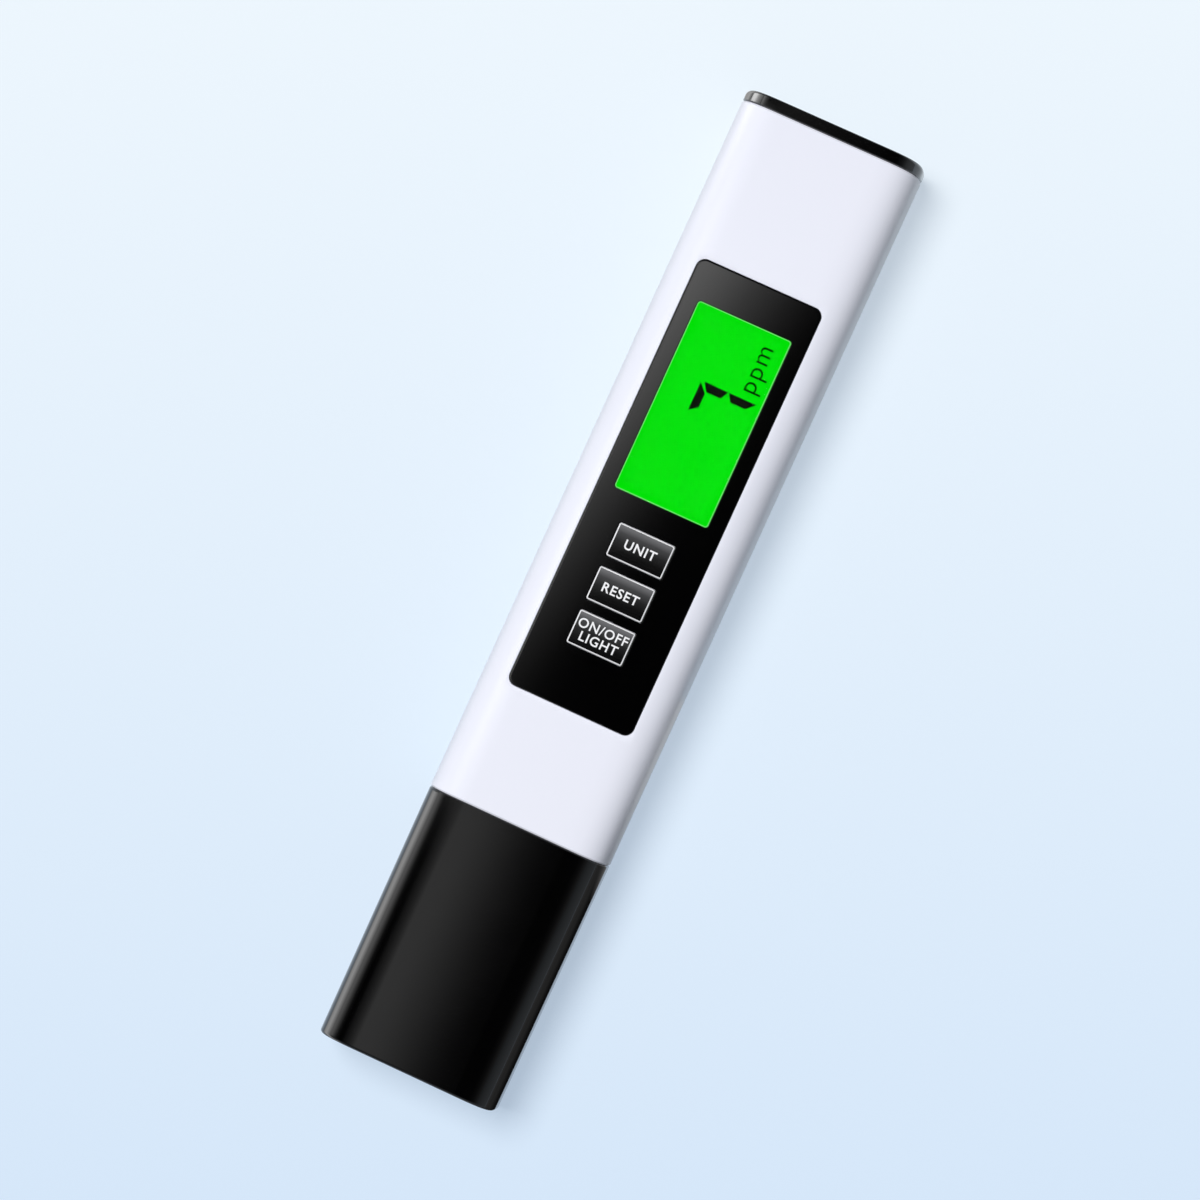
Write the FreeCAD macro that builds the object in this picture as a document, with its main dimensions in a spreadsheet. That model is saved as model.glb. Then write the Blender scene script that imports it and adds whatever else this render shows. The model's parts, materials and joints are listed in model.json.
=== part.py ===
# A pen-type meter for total dissolved solids in water. It lies on its back: +Z is the display side,
# +Y runs from the probe cap to the battery lid, and X goes across. Millimetres.
# A one-piece white sleeve holds the circuit board in rails. A black display panel is glued into its
# front and traps three keys and the clear window. The probe nose plugs the lower end under a pull-off
# cap, and a lid with a tray for two button cells plugs the upper end.
import FreeCAD, Part
import math
import os
import re
import Sketcher

SIZES = {
    # Outer form
    "body_width": 29.2,  # across the front
    "body_depth": 15.0,  # back to front
    "body_corner": 4.5,  # rounding of the four long edges
    "cap_length": 40.4,
    "sleeve_length": 112.7,
    "lid_thickness": 1.9,  # the part of the lid that shows
    "parting_break": 0.2,  # chamfer where sleeve, cap and lid meet
    # Sleeve walls
    "side_wall": 1.7,
    "back_wall": 1.7,
    "front_wall": 2.2,
    "bore_corner": 2.6,
    # Display panel
    "panel_side": 4.45,  # from the sleeve's side to the panel
    "panel_length": 69.6,
    "panel_corner": 1.4,
    "panel_thickness": 1.35,
    "recess_depth": 1.4,  # the panel lies a hair below the sleeve's face
    "panel_end": 24.2,  # from the panel to the sleeve's upper end
    "panel_fit": 0.06,
    "panel_break": 0.15,
    # Clear window
    "window_side": 2.5,  # from the panel's side to the window
    "window_corner": 0.5,
    "window_start": 33.1,  # from the panel's lower edge
    "window_end": 6.0,  # from the window to the panel's upper edge
    "window_fit": 0.03,
    "window_sink": 0.05,  # the window's face below the panel's face
    "lens_lip": 1.5,  # how far the window's flange reaches under the panel
    "lens_lip_thickness": 0.5,
    "view_margin": 0.5,  # the hole in the sleeve is this much larger than the window
    # Keys
    "key_width": 9.2,
    "key_height": 5.5,
    "key_corner": 0.35,
    "key_edge": 0.2,
    "key_pitch": 7.1,
    "key_start": 9.05,  # from the panel's lower edge to the lowest key
    "key_rise": 0.25,  # above the sleeve's face
    "key_crown": 0.12,
    "key_fit": 0.12,
    "key_travel": 0.35,
    "key_ear": 1.1,
    "key_ear_thickness": 0.45,
    "stem_width": 3.0,
    "stem_blade": 0.9,
    "stem_hole": 3.8,
    # Push switches
    "switch_side": 4.6,
    "switch_height": 1.5,
    "switch_floor": 0.3,
    "switch_cover": 0.4,
    "switch_corner": 0.3,
    "tab_reach": 1.1,  # of a solder tab beyond the switch
    "tab_width": 0.7,
    "tab_sheet": 0.2,
    "tab_spacing": 3.0,
    "dome_diameter": 3.4,
    "dome_sheet": 0.1,
    "dome_rise": 0.35,
    "plunger_diameter": 2.3,
    "plunger_flange": 3.2,
    "plunger_flange_thickness": 0.3,
    "plunger_rise": 0.7,
    "plunger_fit": 0.1,
    "plunger_edge": 0.15,
    # Circuit board
    "board_side_gap": 0.2,
    "board_start": 9.6,  # from the sleeve's lower end
    "board_tray_gap": 3.9,
    "board_thickness": 1.0,
    "board_corner": 0.6,
    "rail_reach": 0.8,
    "rail_thickness": 0.7,
    "rail_fit": 0.1,
    # Liquid crystal display
    "lcd_side": 0.85,  # how far the glass reaches past the window on each side
    "lcd_end": 0.95,
    "lcd_ledge": 1.4,  # the front glass overhangs the rear one by this much
    "lcd_glass": 0.7,
    "frame_wall": 0.7,
    "frame_fit": 0.1,
    "frame_lip": 0.4,
    "frame_lip_thickness": 0.4,
    "frame_top_gap": 0.2,
    "lug_width": 3.0,
    "lug_length": 1.7,
    "lug_spacing": 12.0,
    "peg_diameter": 1.0,
    "peg_length": 1.6,
    "peg_fit": 0.1,
    "led_length": 7.0,
    "led_depth": 1.6,
    "led_height": 1.2,
    "led_margin": 0.8,  # of the emitter inside the light's face
    "guide_bevel": 0.6,
    "strip_width": 1.0,
    # Probe nose
    "neck_length": 12.0,
    "neck_fit": 0.15,  # between the neck and the cap
    "cap_wall": 1.3,
    "cap_end_wall": 1.5,
    "cap_draft": 0.18,  # the cap is this much slimmer on each side at its end
    "cap_end_round": 0.5,
    "nose_length": 33.5,
    "guard_gap": 1.1,  # between the guard and the cap
    "guard_corner": 2.4,
    "guard_round": 0.5,
    "shoulder": 0.85,
    "guard_side_wall": 2.4,
    "guard_front_wall": 1.7,
    "chamber_corner": 1.6,
    "chamber_depth": 14.0,
    "slot_width": 2.2,
    "slot_length": 8.5,
    "slot_pitch": 5.4,
    "slot_start": 2.6,  # from the nose's end
    "plug_length": 8.0,
    "plug_fit": 0.1,
    "hollow_side_wall": 2.8,
    "hollow_front_wall": 1.75,
    "hollow_corner": 1.2,
    "bulkhead": 9.5,
    "potting_length": 6.0,
    "seat_rise": 0.6,
    "seat_wall": 0.7,
    # Sensors
    "electrode_diameter": 1.6,
    "electrode_spacing": 7.6,
    "electrode_reach": 8.5,  # out of the chamber's floor
    "electrode_tail": 30.6,  # from the chamber's floor back to the board
    "pin_edge": 0.3,
    "sensor_fit": 0.02,
    "probe_tube_diameter": 2.8,
    "probe_tube_wall": 0.3,
    "probe_tube_reach": 7.0,
    "tube_edge": 0.45,
    "potting_step": 0.5,  # how far the tube stands out of the resin
    "bead_depth": 1.6,  # from the tube's tip to the bead's middle
    "bead_diameter": 2.0,
    "lead_diameter": 0.5,
    "lead_spacing": 1.2,
    # Board mounting
    "tongue_inset": 2.3,
    "tongue_length": 9.0,
    "tongue_root": 3.0,  # of the tongue inside the plug
    "tongue_thickness": 1.6,
    "tongue_rise": 1.2,  # above the plug's back
    "post_diameter": 4.0,
    "screw_inset": 4.8,
    "screw_from_plug": 5.4,
    "screw_shank": 1.6,
    "screw_length": 5.0,
    "screw_head": 3.2,
    "screw_head_height": 1.1,
    "screw_edge": 0.4,
    "recess_length": 1.8,
    "recess_width": 0.45,
    "recess_cut": 0.6,
    "screw_hole": 1.9,
    "pilot_hole": 1.62,
    "pilot_floor": 0.4,
    # Rubber rings
    "neck_ring": 1.0,
    "neck_groove": 0.95,
    "neck_groove_start": 3.6,
    "plug_ring": 0.9,
    "plug_groove": 0.85,
    "plug_groove_start": 2.6,
    "lid_groove_start": 1.6,
    "groove_play": 0.2,
    # Battery lid and tray
    "lid_round": 1.5,
    "lid_plug_length": 5.0,
    "tray_length": 13.7,
    "tray_wall_drop": 0.15,  # the cells stand this much above the tray's walls
    "tray_floor": 1.0,
    "tray_fit": 0.2,
    "tongue_slot_depth": 3.2,
    "tray_tongue_width": 8.0,
    "tray_tongue_thickness": 1.6,
    "tray_tongue_length": 3.0,
    "tray_tongue_fit": 0.05,
    "cell_diameter": 11.6,
    "cell_height": 5.4,
    "cell_button": 9.4,
    "cell_button_rise": 0.2,
    "cell_edge": 0.4,
    "cell_pitch": 12.3,
    "cell_fit": 0.12,
    "strap_width": 2.6,
    "strap_tail": 4.0,
    "strap_thickness": 0.15,
    "leaf_width": 3.0,
    "leaf_sheet": 0.2,
    "leaf_foot": 3.4,
    "leaf_gap": 0.05,
    "leaf_contact": 3.0,
    "leaf_tip": 2.4,
    "leaf_tip_rise": 0.9,
    "notch_width": 7.0,
    "notch_depth": 0.7,
    "notch_height": 0.9,
    # Parts on the board's underside
    "chip_side": 9.0,  # over the leads
    "chip_lead_reach": 1.0,
    "chip_thickness": 1.4,
    "chip_gap": 0.1,
    "chip_edge": 0.25,
    "chip_mark": 0.9,
    "chip_offset": 6.0,  # from the window's middle toward the keys
    "lead_width": 0.4,
    "lead_pitch": 0.8,
    "lead_height": 0.3,
    "row_x": 8.0,  # of the crystal and the row of small parts from the middle
    "crystal_diameter": 2.0,
    "crystal_length": 6.0,
    "crystal_foot": 1.4,
    "small_part_length": 1.6,
    "small_part_width": 0.8,
    "small_part_height": 0.7,
    "small_part_pitch": 2.4,
}

DERIVED = {
    "total_length": "cap_length + sleeve_length + lid_thickness",
    "seam_y": "cap_length - total_length / 2",
    "middle_z": "body_depth / 2",
    "panel_width": "body_width - 2 * panel_side",
    "panel_start": "sleeve_length - panel_end - panel_length",
    "window_width": "panel_width - 2 * window_side",
    "window_length": "panel_length - window_start - window_end",
    "bore_width": "body_width - 2 * side_wall",
    "bore_height": "body_depth - back_wall - front_wall",
    "bore_z": "back_wall + bore_height / 2",
    "front_inside_z": "body_depth - front_wall",
    "recess_z": "body_depth - recess_depth",
    "board_z": "middle_z + electrode_diameter / 2",
    "board_top_z": "board_z + board_thickness",
    "board_width": "bore_width - 2 * board_side_gap",
    "board_end": "tray_top - tray_length - board_tray_gap",
    "board_length": "board_end - board_start",
    "lens_width": "window_width + 2 * lens_lip",
    "lens_length": "window_length + 2 * lens_lip",
    "window_centre": "panel_start + window_start + window_length / 2",
    "key_centre": "key_start + key_height / 2",
    "first_key": "panel_start + key_centre",
    "key_ear_width": "key_width + 2 * key_ear",
    "ear_top": "key_travel + key_ear_thickness + key_fit",
    "key_base_z": "recess_z + ear_top - key_ear_thickness",
    "switch_top_z": "board_top_z + switch_height",
    "plunger_top_z": "switch_top_z + plunger_rise",
    "dome_top_z": "board_top_z + switch_floor + dome_rise + dome_sheet",
    "lcd_width": "window_width + 2 * lcd_side",
    "lcd_length": "window_length + 2 * lcd_end",
    "lcd_height": "2 * lcd_glass",
    "lcd_z": "front_inside_z - frame_top_gap - frame_lip_thickness - lcd_height",
    "lcd_standoff": "lcd_z - board_top_z",
    "lcd_full_width": "lcd_width + lcd_ledge",
    "lcd_start": "window_centre - lcd_length / 2",
    "frame_height": "front_inside_z - frame_top_gap - board_top_z",
    "frame_width": "lcd_full_width + 2 * (frame_wall + frame_fit)",
    "frame_length": "lcd_length + led_depth + 2 * (frame_wall + frame_fit)",
    "frame_centre": "window_centre - led_depth / 2",
    "cap_bore_width": "body_width - 2 * cap_wall",
    "cap_bore_depth": "body_depth - 2 * cap_wall",
    "cap_bore_corner": "body_corner - cap_wall",
    "neck_width": "cap_bore_width - 2 * neck_fit",
    "neck_depth": "cap_bore_depth - 2 * neck_fit",
    "neck_corner": "cap_bore_corner - neck_fit",
    "plug_width": "bore_width - 2 * plug_fit",
    "plug_height": "bore_height - 2 * plug_fit",
    "plug_corner": "bore_corner - plug_fit",
    "guard_width": "cap_bore_width - 2 * guard_gap",
    "guard_depth": "cap_bore_depth - 2 * guard_gap",
    "chamber_width": "guard_width - 2 * guard_side_wall",
    "chamber_height": "guard_depth - 2 * guard_front_wall",
    "hollow_width": "plug_width - 2 * hollow_side_wall",
    "hollow_height": "plug_height - 2 * hollow_front_wall",
    "tongue_width": "plug_width - 2 * tongue_inset",
    "tongue_z": "back_wall + plug_fit + tongue_rise",
    "screw_spacing": "plug_width - 2 * screw_inset",
    "chamber_floor": "chamber_depth - nose_length",
    "hollow_floor": "chamber_floor + bulkhead",
    "electrode_end": "chamber_floor + electrode_tail",
    "post_y": "plug_length + screw_from_plug",
    "tray_top": "sleeve_length - lid_plug_length",
    "tray_width": "bore_width - 2 * tray_fit",
    "tray_corner": "bore_corner - tray_fit",
    "tray_bottom_z": "back_wall + tray_fit",
    "strap_z": "tray_bottom_z + tray_floor",
    "cell_z": "strap_z + strap_thickness",
    "cell_top_z": "cell_z + cell_height",
    "tray_wall_top": "cell_top_z - tray_wall_drop",
    "cell_y": "tray_top - tray_length / 2",
    "tray_tongue_z": "(strap_z + tray_wall_top) / 2",
    "leaf_drop": "board_top_z - cell_top_z - leaf_gap",
    "leaf_reach": "cell_y - board_end",
}

doc = FreeCAD.newDocument("WaterMeter")
sheet = doc.addObject("Spreadsheet::Sheet", "Sizes")
for row, (alias, number) in enumerate(SIZES.items(), start=1):
    sheet.set(f"A{row}", alias)
    sheet.set(f"B{row}", str(number))
    sheet.setAlias(f"B{row}", alias)
doc.recompute()


# Formulas and sketches

def bound(formula):
    """The formula with each plain size name turned into its cell or its own formula."""
    def cell(match):
        word = match.group(0)
        if word in DERIVED:
            return "(" + bound(DERIVED[word]) + ")"
        return "Sizes." + word if word in SIZES else word
    return re.sub(r"[a-z][a-z_]*", cell, str(formula))


def value(formula):
    """The formula's present value in millimetres."""
    return float(sheet.evalExpression(bound(formula)))


# For each direction: the origin plane, the sign of the plane's normal along it.
PLANES = {"x": ("YZ_Plane", 1), "y": ("XZ_Plane", -1), "z": ("XY_Plane", 1)}


def origin_feature(body, role):
    return next(f for f in body.Origin.OriginFeatures if f.Role == role)


def new_body(name, x="0", y="0", z="0"):
    """A body whose own zero point stands at x, y, z of the meter."""
    body = doc.addObject("PartDesign::Body", name)
    body.Label = name
    for axis, formula in (("x", x), ("y", y), ("z", z)):
        body.setExpression(f"Placement.Base.{axis}", bound(formula))
    return body


def new_sketch(body, name, axis, start):
    """A sketch across the axis, at the distance start along it."""
    role, sign = PLANES[axis]
    sketch = body.newObject("Sketcher::SketchObject", name + "_sketch")
    sketch.AttachmentSupport = [(origin_feature(body, role), "")]
    sketch.MapMode = "FlatFace"
    offset = bound(start) if sign > 0 else f"-({bound(start)})"
    sketch.setExpression("AttachmentOffset.Base.z", offset)
    return sketch


def dimension(sketch, kind, *where, size):
    """A driving dimension of the sketch, bound to the size's formula."""
    index = sketch.addConstraint(Sketcher.Constraint(kind, *where, value(size)))
    name = f"size_{index}"
    sketch.renameConstraint(index, name)
    sketch.setExpression(f"Constraints.{name}", bound(size))


def pin_point(sketch, geometry, point, x, y):
    dimension(sketch, "DistanceX", -1, 1, geometry, point, size=x)
    dimension(sketch, "DistanceY", -1, 1, geometry, point, size=y)


UP = FreeCAD.Vector(0, 0, 1)  # the normal in a sketch's own plane


def vector(x, y):
    return FreeCAD.Vector(x, y, 0)


def rounded_rectangle(sketch, x, y, width, height, radius):
    """A rectangle about the point x, y whose corners are tangent arcs."""
    r = value(radius)
    left, low = value(f"{x} - ({width}) / 2"), value(f"{y} - ({height}) / 2")
    right, high = left + value(width), low + value(height)
    corners = [(right - r, low + r), (right - r, high - r), (left + r, high - r), (left + r, low + r)]
    sides = [((left + r, low), (right - r, low)), ((right, low + r), (right, high - r)),
             ((right - r, high), (left + r, high)), ((left, high - r), (left, low + r))]
    quarter = math.pi / 2
    lines = [sketch.addGeometry(Part.LineSegment(vector(*a), vector(*b)), False) for a, b in sides]
    arcs = [sketch.addGeometry(Part.ArcOfCircle(Part.Circle(vector(*centre), UP, r),
                                                (i - 1) * quarter, i * quarter), False)
            for i, centre in enumerate(corners)]
    for i in range(4):
        sketch.addConstraint(Sketcher.Constraint("Tangent", lines[i], 2, arcs[i], 1))
        sketch.addConstraint(Sketcher.Constraint("Tangent", arcs[i], 2, lines[(i + 1) % 4], 1))
        sketch.addConstraint(Sketcher.Constraint("Horizontal" if i % 2 == 0 else "Vertical", lines[i]))
    for arc in arcs[1:]:
        sketch.addConstraint(Sketcher.Constraint("Equal", arcs[0], arc))
    dimension(sketch, "Radius", arcs[0], size=radius)
    dimension(sketch, "DistanceX", lines[3], 2, lines[1], 1, size=width)
    dimension(sketch, "DistanceY", lines[0], 1, lines[2], 1, size=height)
    dimension(sketch, "DistanceX", -1, 1, lines[3], 2, size=f"{x} - ({width}) / 2")
    dimension(sketch, "DistanceY", -1, 1, lines[0], 1, size=f"{y} - ({height}) / 2")


def polygon(sketch, points):
    """A closed outline through the points, each given as two formulas."""
    spots = [vector(value(x), value(y)) for x, y in points]
    count = len(spots)
    first = sketch.GeometryCount
    for i in range(count):
        sketch.addGeometry(Part.LineSegment(spots[i], spots[(i + 1) % count]), False)
    for i in range(count):
        sketch.addConstraint(Sketcher.Constraint("Coincident", first + i, 2, first + (i + 1) % count, 1))
    for i, (x, y) in enumerate(points):
        pin_point(sketch, first + i, 1, x, y)


def rectangle(sketch, x, y, width, height):
    """A sharp rectangle about the point x, y."""
    left, right = f"{x} - ({width}) / 2", f"{x} + ({width}) / 2"
    low, high = f"{y} - ({height}) / 2", f"{y} + ({height}) / 2"
    polygon(sketch, [(left, low), (right, low), (right, high), (left, high)])


def circle(sketch, x, y, diameter):
    centre = vector(value(x), value(y))
    index = sketch.addGeometry(Part.Circle(centre, UP, value(diameter) / 2), False)
    dimension(sketch, "Diameter", index, size=diameter)
    pin_point(sketch, index, 3, x, y)


# Features

def extrude(body, name, axis, start, length, draw, cut=False):
    """Adds or cuts the drawn outline from start to start + length along the axis."""
    sketch = new_sketch(body, name, axis, start)
    draw(sketch)
    feature = body.newObject("PartDesign::Pocket" if cut else "PartDesign::Pad", name)
    feature.Profile = sketch
    feature.Reversed = (PLANES[axis][1] > 0) == cut
    feature.setExpression("Length", bound(length))
    sketch.Visibility = False
    return feature


def revolve(body, name, points, axis="Y_Axis", plane="z", start="0", cut=False):
    """Turns the outline through the points about one of the body's own axes."""
    sketch = new_sketch(body, name, plane, start)
    polygon(sketch, points)
    feature = body.newObject("PartDesign::Groove" if cut else "PartDesign::Revolution", name)
    feature.Profile = sketch
    feature.ReferenceAxis = (origin_feature(body, axis), [""])
    feature.Angle = 360
    return feature


def repeat(body, name, feature, axis, count, pitch):
    """Copies of the feature in a row along the axis."""
    doc.recompute()
    pattern = body.newObject("PartDesign::LinearPattern", name)
    pattern.Originals = [feature]
    pattern.Direction = (origin_feature(body, axis), [""])
    pattern.Mode = "Spacing"
    pattern.Occurrences = count
    pattern.setExpression("Offset", bound(pitch))
    body.Tip = pattern
    return pattern


def mirror(body, name, features, plane="YZ_Plane"):
    """The features repeated on the plane's other side."""
    doc.recompute()
    copy = body.newObject("PartDesign::Mirrored", name)
    copy.Originals = features
    copy.MirrorPlane = (origin_feature(body, plane), [""])
    body.Tip = copy
    return copy


def edges_where(body, test):
    """Names of the finished shape's edges whose bounding box passes the test."""
    doc.recompute()
    return [f"Edge{i}" for i, edge in enumerate(body.Tip.Shape.Edges, start=1) if test(edge.BoundBox)]


def soften(body, name, kind, size, test):
    """A fillet or chamfer on the edges that pass the test."""
    names = edges_where(body, test)
    base = body.Tip
    feature = body.newObject("PartDesign::" + kind, name)
    feature.Base = (base, names)
    feature.setExpression("Radius" if kind == "Fillet" else "Size", bound(size))
    return feature


TOUCH = 0.01  # an edge this near a plane lies on it


def lies_at(axis, position):
    """A test for edges that lie in the plane at this position along the axis."""
    def test(box):
        ends = getattr(box, axis.upper() + "Min"), getattr(box, axis.upper() + "Max")
        return all(abs(end - value(position)) < TOUCH for end in ends)
    return test


def along(axis):
    """A test for straight edges that run along the axis."""
    others = [other for other in "XYZ" if other != axis.upper()]
    return lambda box: all(getattr(box, o + "Length") < TOUCH for o in others)


# Outlines to hand to a feature

def rounded(width, height, radius, x="0", y="0"):
    return lambda sketch: rounded_rectangle(sketch, x, y, width, height, radius)


def sharp(width, height, x="0", y="0"):
    return lambda sketch: rectangle(sketch, x, y, width, height)


def disc(diameter, x="0", y="0"):
    return lambda sketch: circle(sketch, x, y, diameter)


def ring_band(width, height, radius, depth, y):
    """The band between a rounded rectangle inset by depth and one well outside it."""
    def draw(sketch):
        rounded_rectangle(sketch, "0", y, f"{width} + 2", f"{height} + 2", f"{radius} + 1")
        rounded_rectangle(sketch, "0", y, f"{width} - 2 * {depth}", f"{height} - 2 * {depth}",
                          f"{radius} - {depth}")
    return draw


def crowned(width, height, crown):
    """A rectangle on the x axis whose top side bulges by the crown."""
    def draw(sketch):
        half, high, bulge = value(width) / 2, value(height) - value(crown), value(crown)
        spots = [vector(-half, high), vector(-half, 0), vector(half, 0), vector(half, high)]
        for i in range(3):
            sketch.addGeometry(Part.LineSegment(spots[i], spots[i + 1]), False)
        top = sketch.addGeometry(Part.Arc(spots[3], vector(0, high + bulge), spots[0]), False)
        for i in range(2):
            sketch.addConstraint(Sketcher.Constraint("Coincident", i, 2, i + 1, 1))
        sketch.addConstraint(Sketcher.Constraint("Coincident", top, 1, 2, 2))
        sketch.addConstraint(Sketcher.Constraint("Coincident", top, 2, 0, 1))
        pin_point(sketch, 0, 2, f"-({width}) / 2", "0")
        pin_point(sketch, 1, 2, f"({width}) / 2", "0")
        pin_point(sketch, 0, 1, f"-({width}) / 2", f"{height} - {crown}")
        pin_point(sketch, 2, 2, f"({width}) / 2", f"{height} - {crown}")
        dimension(sketch, "Radius", top, size=f"({width}) * ({width}) / (8 * {crown}) + {crown} / 2")
    return draw


# The housing

def make_sleeve():
    """One white tube with the panel's recess, the display opening and the board's rails."""
    body = new_body("housing_sleeve", y="seam_y")
    extrude(body, "tube", "y", "0", "sleeve_length",
            rounded("body_width", "body_depth", "body_corner", y="middle_z"))
    ends = [lies_at("y", "0"), lies_at("y", "sleeve_length")]
    soften(body, "parting_edges", "Chamfer", "parting_break", lambda box: any(end(box) for end in ends))
    extrude(body, "bore", "y", "0", "sleeve_length",
            rounded("bore_width", "bore_height", "bore_corner", y="bore_z"), cut=True)
    extrude(body, "panel_recess", "z", "recess_z", "recess_depth + 1",
            rounded("panel_width + 2 * panel_fit", "panel_length + 2 * panel_fit", "panel_corner + panel_fit",
                    y="panel_start + panel_length / 2"), cut=True)
    extrude(body, "display_opening", "z", "bore_z", "front_wall + bore_height / 2",
            rounded("window_width + 2 * view_margin", "window_length + 2 * view_margin", "window_corner",
                    y="window_centre"), cut=True)
    hole = extrude(body, "stem_hole", "z", "bore_z", "front_wall + bore_height / 2",
                   disc("stem_hole", y="first_key"), cut=True)
    repeat(body, "stem_holes", hole, "Y_Axis", 3, "key_pitch")
    rails = []
    for name, level in (("lower_rail", "board_z - rail_fit - rail_thickness / 2"),
                        ("upper_rail", "board_top_z + rail_fit + rail_thickness / 2")):
        rails.append(extrude(body, name, "y", "board_start + 1", "board_length - 2",
                             sharp("rail_reach + side_wall / 2", "rail_thickness",
                                   x="bore_width / 2 + (side_wall / 2 - rail_reach) / 2", y=level)))
    mirror(body, "left_rails", rails)


def make_panel():
    """The black display panel, open for the window and the keys and hollowed behind them."""
    body = new_body("front_panel", y="seam_y + panel_start", z="recess_z")
    middle = "window_start + window_length / 2"
    extrude(body, "plate", "z", "0", "panel_thickness",
            rounded("panel_width", "panel_length", "panel_corner", y="panel_length / 2"))
    soften(body, "rim", "Chamfer", "panel_break", lies_at("z", "panel_thickness"))
    extrude(body, "window_opening", "z", "0", "panel_thickness",
            rounded("window_width", "window_length", "window_corner", y=middle), cut=True)
    extrude(body, "lens_rebate", "z", "0", "lens_lip_thickness + window_fit",
            rounded("lens_width + 2 * window_fit", "lens_length + 2 * window_fit", "window_corner", y=middle),
            cut=True)
    opening = extrude(body, "key_opening", "z", "0", "panel_thickness",
                      rounded("key_width", "key_height", "key_corner", y="key_centre"), cut=True)
    repeat(body, "key_openings", opening, "Y_Axis", 3, "key_pitch")
    pocket = extrude(body, "ear_pocket", "z", "0", "ear_top",
                     rounded("key_ear_width + 4 * key_fit", "key_height + 3 * key_fit", "key_corner",
                             y="key_centre"), cut=True)
    repeat(body, "ear_pockets", pocket, "Y_Axis", 3, "key_pitch")


def make_lens():
    """The clear window: a flange under the panel and a boss that fills the opening."""
    body = new_body("window_lens", y="seam_y + window_centre", z="recess_z")
    extrude(body, "flange", "z", "0", "lens_lip_thickness",
            rounded("lens_width", "lens_length", "window_corner"))
    extrude(body, "boss", "z", "0", "panel_thickness - window_sink",
            rounded("window_width - 2 * window_fit", "window_length - 2 * window_fit", "window_corner"))


def make_key(name, number):
    """A crowned key on two ears, with a cross-shaped stem that reaches down to its switch."""
    body = new_body(name, y=f"seam_y + first_key + {number} * key_pitch", z="key_base_z")
    wide, deep = "key_width - 2 * key_fit", "key_height - 2 * key_fit"
    extrude(body, "cap", "x", f"-({wide}) / 2", wide,
            crowned(deep, "body_depth + key_rise - key_base_z", "key_crown"))
    soften(body, "upright_edges", "Fillet", "key_corner - key_fit / 2", along("z"))
    soften(body, "rim", "Fillet", "key_edge", lambda box: box.ZMin > value("body_depth - key_base_z"))
    extrude(body, "ears", "z", "0", "key_ear_thickness",
            rounded("key_ear_width", deep, "key_corner - key_fit / 2"))
    down = "key_base_z - plunger_top_z"
    reach = f"{down} + key_ear_thickness"
    extrude(body, "stem_across", "z", f"-({down})", reach, sharp("stem_width", "stem_blade"))
    extrude(body, "stem_along", "z", f"-({down})", reach, sharp("stem_blade", "stem_width"))


# Push switches

def make_switch(name, number):
    """A square switch housing on the board, hollow under its cover, with four solder tabs."""
    body = new_body(name, y=f"seam_y + first_key + {number} * key_pitch", z="board_top_z")
    extrude(body, "housing", "z", "0", "switch_height",
            rounded("switch_side", "switch_side", "switch_corner"))
    extrude(body, "cavity", "z", "switch_floor", "switch_height - switch_floor - switch_cover",
            disc("dome_diameter + 2 * plunger_fit"), cut=True)
    extrude(body, "mouth", "z", "switch_floor", "switch_height", disc("plunger_diameter + 2 * plunger_fit"),
            cut=True)
    tab = "tab_reach + switch_corner"
    tabs = [extrude(body, name, "z", "0", "tab_sheet",
                    sharp(tab, "tab_width", x=f"switch_side / 2 + tab_reach - ({tab}) / 2", y=y))
            for name, y in (("low_tab", "-tab_spacing / 2"), ("high_tab", "tab_spacing / 2"))]
    mirror(body, "left_tabs", tabs)


def make_dome(name, number):
    """A thin snap dome that bulges up from the switch's floor."""
    body = new_body(name, y=f"seam_y + first_key + {number} * key_pitch", z="board_top_z + switch_floor")
    radius = "(dome_diameter / 2)"
    steps = [(f"{radius} * {k} / 3", f"dome_rise * (1 - {k} * {k} / 9)") for k in range(3, -1, -1)]
    upper = [(x, f"{y} + dome_sheet") for x, y in reversed(steps)]
    revolve(body, "shell", steps + upper, axis="Z_Axis", plane="y")


def make_plunger(name, number):
    """The round plunger between a switch's dome and its key's stem."""
    body = new_body(name, y=f"seam_y + first_key + {number} * key_pitch", z="dome_top_z")
    flange, shaft, top = "plunger_flange / 2", "plunger_diameter / 2", "(plunger_top_z - dome_top_z)"
    revolve(body, "turned", [("0", "0"), (flange, "0"), (flange, "plunger_flange_thickness"),
                             (shaft, "plunger_flange_thickness"), (shaft, f"{top} - plunger_edge"),
                             (f"{shaft} - plunger_edge", top), ("0", top)], axis="Z_Axis", plane="y")


# The circuit board and what stands on it

def make_board():
    body = new_body("main_board", y="seam_y", z="board_z")
    extrude(body, "laminate", "z", "0", "board_thickness",
            rounded("board_width", "board_length", "board_corner", y="board_start + board_length / 2"))
    hole = extrude(body, "screw_hole", "z", "0", "board_thickness",
                   disc("screw_hole", x="screw_spacing / 2", y="post_y"), cut=True)
    mirror(body, "screw_holes", [hole])
    pegs = [extrude(body, name, "z", "0", "board_thickness",
                    disc("peg_diameter + 2 * peg_fit", x="lug_spacing / 2",
                         y=f"frame_centre {side} (frame_length + lug_length) / 2"), cut=True)
            for name, side in (("near_peg_hole", "-"), ("far_peg_hole", "+"))]
    mirror(body, "peg_holes", pegs)


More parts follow.
